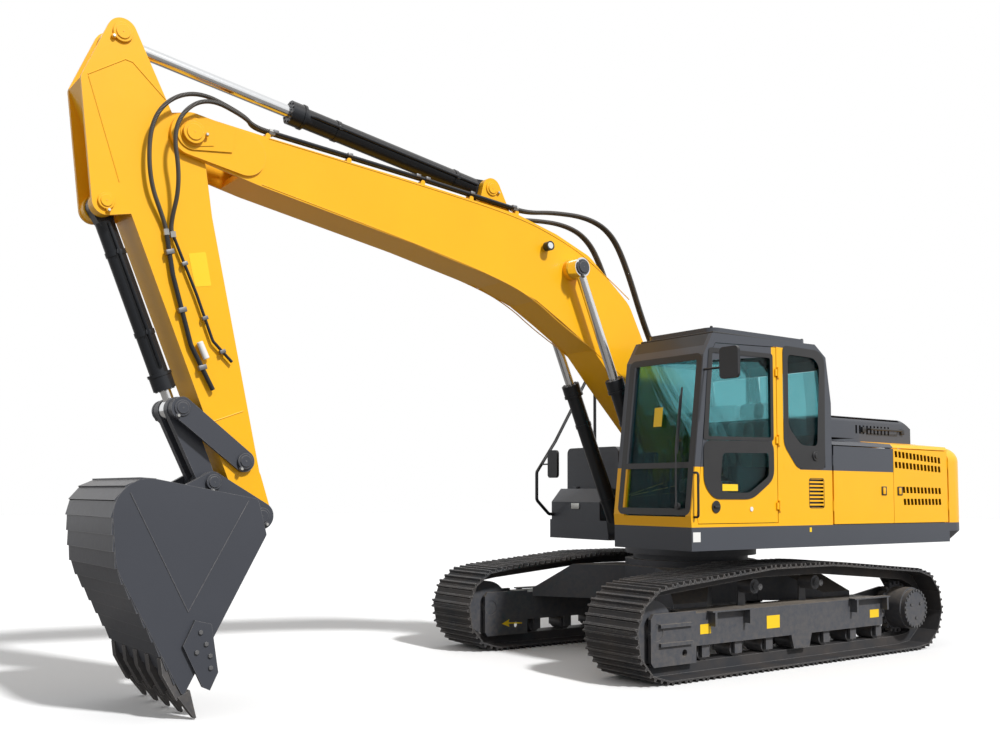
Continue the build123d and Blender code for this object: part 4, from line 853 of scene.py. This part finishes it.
class EXCAVATOR_OT_cab_trim(bpy.types.Operator):
    """Adds the seals, wiper, handles, stickers and vents of the cab"""

    bl_idname = "excavator.cab_trim"
    bl_label = "Cab trim"

    def execute(self, context):
        def front(y, z, lift=0.0006):
            """Point on the windshield, lifted off it."""
            x = WINDSHIELD_FOOT[0] - max(0.0, z - WINDSHIELD_FOOT[1]) * WINDSHIELD_SLOPE
            return (x + lift, y, z)

        def surround(bm, outer, inner, corner, inner_corner):
            outlines = rounded(outer, corner), rounded(inner, inner_corner)
            add_surround(bm, *(at_y(SIDE_Y + 0.0046, line) for line in outlines), 0.004)

        def plate(bm, x_low, x_high, z_low, z_high, low=0.0004, high=0.0022):
            """Thin plate on the left wall."""
            add_block(bm, (x_low, SIDE_Y + low, z_low), (x_high, SIDE_Y + high, z_high))

        bm = bmesh.new()
        surround(
            bm,
            [(0.292, 2.852), (-0.222, 2.846), (-0.318, 2.775), (-0.300, 1.752), (0.100, 1.752),
             (0.292, 1.960)],
            [(0.222, 2.775), (-0.160, 2.770), (-0.235, 2.700), (-0.190, 1.965), (0.040, 1.965),
             (0.222, 2.120)],
            0.06, 0.05,
        )
        add_round(bm, (-0.16, SIDE_Y + 0.008, 1.872), LEFT, 0.045, 0.012, 28, 0.003)
        add_round(bm, (-0.16, SIDE_Y + 0.016, 1.872), LEFT, 0.024, 0.01, 20, 0.002)
        finished(bm, "quarter_window_seal", "house", "window_rubber")
        bm = bmesh.new()
        add_sheet(bm, at_y(SIDE_Y + 0.0005, [(0.298, 1.744), (0.298, 2.020), (0.060, 1.744)]), 0.004)
        finished(bm, "quarter_window_corner", "house", "yellow_paint")

        def pane(right, left, low, high, lift):
            """Corners of a rectangle on the windshield."""
            return [front(y, z, lift) for y, z in ((right, low), (left, low), (left, high), (right, high))]

        bm = bmesh.new()
        right, left, bar = 0.515, 1.352, 1.76
        add_sheet(bm, pane(right, left, 1.342, 2.705, 0.0006), 0.006, 0.06, 0.058)
        add_sheet(bm, pane(right + 0.03, left - 0.03, bar - 0.025, bar + 0.025, 0.001), 0.006)
        finished(bm, "windshield_seal", "house", "window_rubber")

        bm = bmesh.new()
        surround(
            bm, [(1.268, 2.752), (0.432, 2.762), (0.432, 1.992), (1.345, 1.972)],
            [(1.225, 2.712), (0.470, 2.722), (0.470, 2.020), (1.285, 2.003)], 0.03, 0.02,
        )
        surround(
            bm,
            [(1.345, 1.968), (0.432, 1.988), (0.432, 1.655), (0.728, 1.478), (1.225, 1.478),
             (1.345, 1.600)],
            [(1.105, 1.868), (0.505, 1.882), (0.505, 1.680), (0.770, 1.535), (1.080, 1.535),
             (1.140, 1.640)],
            0.09, 0.04,
        )
        add_round(bm, (1.195, SIDE_Y + 0.004, 1.414), LEFT, 0.052, 0.007, 32, 0.002)
        add_block(bm, (1.165, SIDE_Y + 0.005, 1.402), (1.225, SIDE_Y + 0.022, 1.424), 0.005)
        finished(bm, "door_window_seals", "cab_door", "window_rubber")
        bm = bmesh.new()
        add_round(bm, (0.74, SIDE_Y + 0.0022, 1.394), LEFT, 0.02, 0.003, 24)
        finished(bm, "door_round_plate", "cab_door", "white_plate")

        bm = bmesh.new()
        wiper_arm = [front(1.22, 1.42, 0.03), front(1.18, 1.9, 0.045), front(1.17, 2.35, 0.03)]
        pivot = [front(1.22, 1.42, 0.004), front(1.22, 1.42, 0.04)]
        add_tubes(bm, [wiper_arm, pivot], 0.007, False)
        add_tubes(bm, [[front(1.17, 1.86, 0.016), front(1.17, 2.42, 0.016)]], 0.009, False)
        add_round(bm, front(1.22, 1.42, 0.012), (1, 0, 0.1), 0.028, 0.022, 24, 0.003)
        finished(bm, "windshield_wiper", "house", "black_plastic")

        bm = bmesh.new()
        plate(bm, 1.39, 1.48, 1.125, 1.205)
        finished(bm, "skirt_plate", "house", "white_plate")
        bm = bmesh.new()
        plate(bm, -0.09, -0.06, 1.185, 1.225)
        add_sheet(bm, pane(0.86, 0.956, 2.265, 2.098, 0.0), 0.001)
        finished(bm, "skirt_tag", "house", "yellow_plate")
        bm = bmesh.new()
        plate(bm, 0.922, 1.118, 1.548, 1.605, 0.0052, 0.0062)
        finished(bm, "door_pane_plate", "cab_door", "yellow_plate")

        bm = bmesh.new()
        vent = [(-0.062, 1.672), (-0.285, 1.672), (-0.285, 1.398), (-0.062, 1.398)]
        opening = [(-0.067, 1.667), (-0.280, 1.667), (-0.280, 1.403), (-0.067, 1.403)]
        add_surround(bm, *(at_y(SIDE_Y + 0.0024, rounded(line, 0.03)) for line in (vent, opening)), 0.002)
        finished(bm, "cab_vent_rim", "house", "window_rubber")

        bm = bmesh.new()
        gutter = [(x, y, 2.893) for x, y in ((1.17, 0.50), (1.17, 1.33), (-0.15, 1.33), (-0.15, 0.50))]
        add_tubes(bm, [gutter + gutter[:1]], 0.011, False)
        for x, y in ((1.12, 0.56), (1.12, 1.27), (-0.12, 1.27), (-0.12, 0.56)):
            add_round(bm, (x, y, 2.951), UP, 0.012, 0.014, 12, 0.002)
        finished(bm, "roof_gutter", "house", "black_plastic")
        return {"FINISHED"}


class EXCAVATOR_OT_cab_inside(bpy.types.Operator):
    """Builds the driver's seat, levers, pedals and monitor"""

    bl_idname = "excavator.cab_inside"
    bl_label = "Cab inside"

    def execute(self, context):
        bm = bmesh.new()
        pads = (
            ((0.26, 0.68, 1.50), (0.76, 1.15, 1.64), 0.0),
            ((0.16, 0.69, 1.66), (0.30, 1.14, 2.20), math.radians(-9)),
            ((0.11, 0.79, 2.21), (0.21, 1.04, 2.37), math.radians(-9)),
        )
        for low, high, lean in pads:
            add_block(bm, low, high, 0.045, Matrix.Rotation(lean, 4, "Y"))
        bmesh.ops.subdivide_edges(bm, edges=bm.edges, cuts=2, use_grid_fill=True)
        bmesh.ops.smooth_vert(
            bm, verts=bm.verts, factor=0.5, use_axis_x=True, use_axis_y=True, use_axis_z=True
        )
        seat = finished(bm, "driver_seat", "house", "seat_cloth", 80)
        soften = seat.modifiers.new("soften", "SUBSURF")
        soften.levels = soften.render_levels = 1
        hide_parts("operator_seat")
        bm = bmesh.new()
        add_block(bm, (0.30, 0.74, 1.276), (0.66, 1.09, 1.49), 0.02)
        for i in range(4):
            add_block(bm, (0.27, 0.71, 1.31 + i * 0.045), (0.69, 1.12, 1.33 + i * 0.045), 0.008)
        finished(bm, "seat_base", "house", "black_plastic")
        bm = bmesh.new()
        for y in (0.605, 1.225):
            add_tubes(bm, [[(0.74, y, 1.76), (0.75, y, 1.86), (0.78, y, 1.93)]], 0.011)
            add_round(bm, (0.785, y, 1.96), (0.2, 0, 1), 0.024, 0.09, 20, 0.008)
            add_round(bm, (0.742, y, 1.775), UP, 0.04, 0.05, 20, 0.006, 0.02)
        for y in (0.82, 0.98):
            add_tubes(bm, [[(1.16, y, 1.275), (1.2, y, 1.5), (1.13, y, 1.78)]], 0.011)
            tilt = Matrix.Rotation(0.5, 4, "Y")
            add_block(bm, (1.13, y - 0.05, 1.33), (1.27, y + 0.05, 1.35), 0.006, tilt)
        add_block(bm, (1.17, 0.54, 1.75), (1.21, 0.72, 1.89), 0.012, Matrix.Rotation(-0.25, 4, "Z"))
        add_tubes(bm, [[(1.2, 0.6, 1.3), (1.2, 0.62, 1.6), (1.19, 0.63, 1.78)]], 0.012)
        finished(bm, "driver_controls", "house", "black_plastic")
        bm = bmesh.new()
        for y in (0.605, 1.225):
            add_round(bm, (0.796, y, 2.012), (0.2, 0, 1), 0.014, 0.014, 16, 0.003)
        finished(bm, "lever_buttons", "house", "red_knob")
        return {"FINISHED"}


class EXCAVATOR_OT_house_trim(bpy.types.Operator):
    """Adds latches, handles, caps, tread plates and mirror panes"""

    bl_idname = "excavator.house_trim"
    bl_label = "House trim"

    def execute(self, context):
        face = SIDE_Y + 0.0005
        for body, x, outward in (
            ("left_front_door", -1.232, 1), ("left_rear_door", -1.50, 1), ("pump_door", -2.25, -1),
        ):
            bm = bmesh.new()
            low, high = sorted((outward * face, outward * (face + 0.006)))
            add_block(bm, (x - 0.042, low, 1.52), (x + 0.042, high, 1.605), 0.004)
            finished(bm, f"{body}_latch", body, "black_plastic")
            bm = bmesh.new()
            low, high = sorted((outward * (face + 0.006), outward * (face + 0.014)))
            add_block(bm, (x - 0.012, low, 1.53), (x + 0.030, high, 1.595), 0.003)
            finished(bm, f"{body}_latch_paddle", body, "yellow_paint")

        bm = bmesh.new()
        rail_z = 2.19
        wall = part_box("hood")[1][1]
        foot, bar = wall - 0.002, wall + 0.05
        handle = [(x, y, rail_z) for x, y in ((-1.52, foot), (-1.52, bar), (-2.06, bar), (-2.06, foot))]
        add_tubes(bm, [handle], 0.011, False)
        for x in (-1.45, -2.13):
            add_block(bm, (x - 0.03, foot, rail_z - 0.035), (x + 0.03, wall + 0.022, rail_z + 0.02), 0.004)
        finished(bm, "hood_handle", "hood", "black_plastic")

        bm = bmesh.new()
        add_block(bm, (0.668, -1.02, 1.36), (0.676, -0.9, 1.42), 0.002)
        finished(bm, "toolbox_latch", "house", "zinc_plate")

        bm = bmesh.new()
        tank_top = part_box("fuel_tank")[1][2]
        add_round(bm, (0.15, -0.72, tank_top + 0.02), UP, 0.055, 0.04, 28, 0.006)
        add_round(bm, (0.15, -0.72, tank_top + 0.048), UP, 0.018, 0.02, 16, 0.003)
        finished(bm, "fuel_cap", "house", "black_plastic")

        bm = bmesh.new()
        cover_top = 2.0604
        for low, high, top in (
            ((-0.35, -1.30), (0.40, -0.95), tank_top),
            ((-0.85, 0.62), (-0.45, 1.30), cover_top),
            ((-1.35, -1.3), (-0.55, -0.95), cover_top),
        ):
            add_block(bm, (*low, top - 0.001), (*high, top + 0.003), 0.001)
            count = int((high[0] - low[0]) / 0.06)
            across = int((high[1] - low[1]) / 0.07)
            for i in range(count):
                for j in range(across):
                    spot = (low[0] + 0.04 + i * 0.06, low[1] + 0.04 + j * 0.07, top + 0.0045)
                    add_round(bm, spot, UP, 0.012, 0.005, 8, 0.0, 0.008)
        finished(bm, "tread_plates", "house", "black_plastic")

        bm = bmesh.new()
        for x, right, left, low, high in (
            (1.3297, 1.57, 1.73, 2.475, 2.705), (0.8197, -1.182, -1.058, 1.70, 1.958),
        ):
            add_sheet(bm, [(x, right, low), (x, left, low), (x, left, high), (x, right, high)], 0.001, 0.025)
        finished(bm, "mirror_panes", "house", "mirror_glass")

        bm = bmesh.new()
        low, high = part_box("exhaust_pipe")
        middle = ((low[0] + high[0]) / 2, (low[1] + high[1]) / 2)
        add_round(bm, (*middle, high[2] - 0.05), UP, 0.066, 0.02, 32, 0.004)
        add_round(bm, (*middle, low[2] + 0.012), UP, 0.09, 0.02, 32, 0.004)
        finished(bm, "exhaust_bands", "house", "pin_steel")
        return {"FINISHED"}


class EXCAVATOR_OT_gear_trim(bpy.types.Operator):
    """Adds welds, nose plates, pipe clamps, a sticker and the bucket's adapters and bolts"""

    bl_idname = "excavator.gear_trim"
    bl_label = "Working gear trim"

    def execute(self, context):
        sizes = context.scene.excavator_sizes
        bm = bmesh.new()
        pipe_line = [(2.370, 4.015), (3.368, 4.109), (4.767, 4.219)]
        for (ax, az), (bx, bz) in zip(pipe_line, pipe_line[1:]):
            lean = Matrix.Rotation(-math.atan2(bz - az, bx - ax), 4, "Y")
            bolt_shift = 0.002 * math.hypot(bx - ax, bz - az)
            for share in (0.04, 0.5, 0.96):
                x, z = ax + (bx - ax) * share, az + (bz - az) * share
                for y in (0.1585, -0.1585):
                    low, high = (x - 0.022, y - 0.042, z - 0.004), (x + 0.022, y + 0.042, z + 0.021)
                    add_block(bm, low, high, 0.004, lean)
                    add_round(bm, (x - bolt_shift, y, z + 0.025), UP, sizes.bolt_radius, 0.009, 6)
        finished(bm, "boom_pipe_clamps", "boom", "pin_steel")

        bm = bmesh.new()
        for x, z in ((5.518, 3.193), (5.4175, 2.792), (5.2605, 2.396)):
            lean = Matrix.Rotation(0.3, 4, "Y")
            for side in (1, -1):
                low, high = sorted((side * 0.183, side * 0.222))
                add_block(bm, (x - 0.03, low, z - 0.018), (x + 0.03, high, z + 0.018), 0.004, lean)
        lean = Matrix.Rotation(0.4, 4, "Y")
        for x, z in ((5.4065, 3.125), (5.2465, 2.7525), (5.1085, 2.523)):
            add_block(bm, (x - 0.022, 0.179, z - 0.014), (x + 0.022, 0.212, z + 0.014), 0.003, lean)
        finished(bm, "arm_pipe_clamps", "arm", "pin_steel")

        bm = bmesh.new()
        top = [(1.02, 3.36), (1.495, 3.66), (1.90, 3.82), (2.38, 3.945), (3.37, 4.045), (4.77, 4.16)]
        low = [
            (1.08, 2.60), (1.48, 2.84), (1.90, 3.05), (2.16, 3.215), (2.52, 3.355), (3.44, 3.555),
            (4.82, 3.80),
        ]
        for y in (0.1905, -0.1905):
            add_tubes(bm, [at_y(y, top), at_y(y, low)], sizes.weld_radius, True, 1)
        finished(bm, "boom_welds", "boom", "gear_yellow_paint")

        bm = bmesh.new()
        nose = Vector((5.374, 4.067))
        for side in (1, -1):
            for radius, heel, top, lift in (
                (0.118, (5.070, 3.987), (5.052, 4.165), 0.006),
                (0.094, (5.215, 4.006), (5.225, 4.140), 0.012),
            ):
                line = [nose + radius * Vector((math.sin(a), math.cos(a))) for a in
                        (math.radians(d) for d in range(0, 196, 15))]
                outline = [(p[0], side * (0.2152 + lift), p[1]) for p in (*line, Vector(heel), Vector(top))]
                add_sheet(bm, outline if side < 0 else outline[::-1], lift)
        finished(bm, "boom_nose_plates", "boom", "gear_yellow_paint")

        bm = bmesh.new()
        edge = [(6.105, 4.345), (5.852, 4.510), (5.800, 4.502), (5.560, 4.290)]
        shin = [(6.100, 4.335), (5.872, 3.640)]
        foot = [(5.195, 2.004), (4.925, 2.104)]
        for y in (0.1655, -0.1655):
            add_tubes(bm, [at_y(y, line) for line in (edge, shin, foot)], sizes.weld_radius, False, 1)
        finished(bm, "arm_welds", "arm", "gear_yellow_paint")

        bm = bmesh.new()
        ribs = ([(5.862, 1.505), (5.455, 0.716)], [(5.455, 0.716), (5.035, 1.452)])
        for y in (0.531, -0.531):
            add_tubes(bm, [at_y(y, line) for line in ribs], 0.004, False, 1)
        finished(bm, "bucket_welds", "bucket", "gear_grey_paint")

        bm = bmesh.new()
        lip, rise, out = Vector((5.492, 0, 0.187)), Vector((0.4756, 0, 0.88)), Vector((0.88, 0, -0.4756))
        profile = [(-0.03, -0.02), (-0.03, 0.045), (0.17, 0.05), (0.27, 0.012), (0.27, -0.01)]
        spots = [lip + rise * along + out * away for along, away in profile]
        half = 0.036
        for i in range(5):
            y = -0.4825 + 0.24125 * i
            loops = [[bm.verts.new(p + Vector((0, edge, 0))) for p in spots] for edge in (y - half, y + half)]
            for j in range(len(profile)):
                k = (j + 1) % len(profile)
                bm.faces.new((loops[0][j], loops[0][k], loops[1][k], loops[1][j]))
            bm.faces.new(loops[0])
            bm.faces.new(loops[1])
        finished(bm, "tooth_adapters", "bucket", "cast_teeth")

        bm = bmesh.new()
        add_round(bm, (5.255, 0.197, 2.520), (0.43, 0, 0.9), 0.024, 0.13, 24, 0.004)
        finished(bm, "arm_pipe_sleeve", "arm", "white_plate")

        bm = bmesh.new()
        outline = [(5.367, 3.209), (5.238, 3.238), (5.190, 2.997), (5.312, 2.975)]
        add_sheet(bm, at_y(0.1656, outline), 0.0012, 0.01)
        finished(bm, "arm_plate", "arm", "yellow_plate")

        bm = bmesh.new()
        cutter = [(5.375, 0.58), (5.335, 0.50), (5.305, 0.42), (5.30, 0.34), (5.40, 0.45)]
        for side in (1, -1):
            for x, z in cutter:
                add_round(bm, (x, side * 0.5615, z), (0, side, 0), 0.017, 0.013, 6, 0.002)
        finished(bm, "cutter_bolts", "bucket", "pin_steel")

        bm = bmesh.new()
        add_round(bm, (2.069, 0.245, 3.715), LEFT, 0.03, 0.066, 28, 0.003)
        finished(bm, "boom_lamp_lens", "boom", "mirror_glass")
        return {"FINISHED"}


class EXCAVATOR_OT_track_trim(bpy.types.Operator):
    """Adds the undercarriage's bolts, roller ends and blank plates"""

    bl_idname = "excavator.track_trim"
    bl_label = "Undercarriage trim"

    def execute(self, context):
        bm = bmesh.new()
        low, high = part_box("travel_motors")
        hub = (-1.77, 0.4)
        for side, face in ((1, high[1]), (-1, low[1])):
            for circle, radius, depth in (
                (around(0.178, 24), 0.0125, 0.012), (around(0.09, 3, 0.5), 0.016, 0.01),
            ):
                for x, z in circle:
                    spot = (hub[0] + x, face + side * 0.004, hub[1] + z)
                    add_round(bm, spot, (0, side, 0), radius, depth, 6)
        finished(bm, "motor_cover_bolts", "undercarriage", "pin_steel")

        bm = bmesh.new()
        low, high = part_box("track_rollers")
        for side, face in ((1, high[1]), (-1, low[1])):
            for x in (0.47, -0.4):
                add_round(bm, (x, face + side * 0.004, 0.707), (0, side, 0), 0.03, 0.008, 24, 0.002)
                for out, lift in around(0.018, 3):
                    spot = (x + out, face + side * 0.01, 0.707 + lift)
                    add_round(bm, spot, (0, side, 0), 0.005, 0.005, 6)
        finished(bm, "roller_end_caps", "undercarriage", "pin_steel")

        bm = bmesh.new()
        for x, y in around(0.525, 40):
            add_round(bm, (x, y, 0.876), UP, 0.013, 0.01, 6)
        finished(bm, "slew_ring_bolts", "undercarriage", "pin_steel")

        bm = bmesh.new()
        face = 1.2556
        for x0, x1, z0, z1 in (
            (1.151, 1.282, 0.353, 0.434), (0.242, 0.420, 0.341, 0.453), (-1.269, -1.123, 0.340, 0.416),
        ):
            add_block(bm, (x0, face, z0), (x1, face + 0.0016, z1))
        arrow = [
            (1.655, 0.236), (1.56, 0.275), (1.57, 0.245), (1.40, 0.235), (1.40, 0.222), (1.57, 0.232),
            (1.56, 0.2),
        ]
        add_sheet(bm, at_y(-0.9444, arrow), 0.0012)
        finished(bm, "frame_plates", "undercarriage", "yellow_plate")
        return {"FINISHED"}


class EXCAVATOR_PT_parts(bpy.types.Panel):
    """Lists the excavator's pieces"""

    bl_label = "Excavator"
    bl_space_type = "VIEW_3D"
    bl_region_type = "UI"
    bl_category = "Excavator"

    def draw(self, context):
        for operator in OPERATORS:
            self.layout.operator(operator.bl_idname)


SETTINGS = {
    "excavator_colours": ExcavatorColours,
    "excavator_sizes": ExcavatorSizes,
    "excavator_stage": ExcavatorStage,
}
OPERATORS = (
    EXCAVATOR_OT_stage,
    EXCAVATOR_OT_paint,
    EXCAVATOR_OT_hoses,
    EXCAVATOR_OT_pins,
    EXCAVATOR_OT_cylinders,
    EXCAVATOR_OT_cab_trim,
    EXCAVATOR_OT_cab_inside,
    EXCAVATOR_OT_house_trim,
    EXCAVATOR_OT_gear_trim,
    EXCAVATOR_OT_track_trim,
)


def register():
    for name, settings in SETTINGS.items():
        bpy.utils.register_class(settings)
        setattr(bpy.types.Scene, name, PointerProperty(type=settings))
    for part in (*OPERATORS, EXCAVATOR_PT_parts):
        bpy.utils.register_class(part)


def unregister():
    for part in (*OPERATORS, EXCAVATOR_PT_parts):
        bpy.utils.unregister_class(part)
    for name, settings in SETTINGS.items():
        delattr(bpy.types.Scene, name)
        bpy.utils.unregister_class(settings)


def main():
    register()
    for operator in OPERATORS:
        group, name = operator.bl_idname.split(".")
        getattr(getattr(bpy.ops, group), name)()


if __name__ == "__main__":
    main()
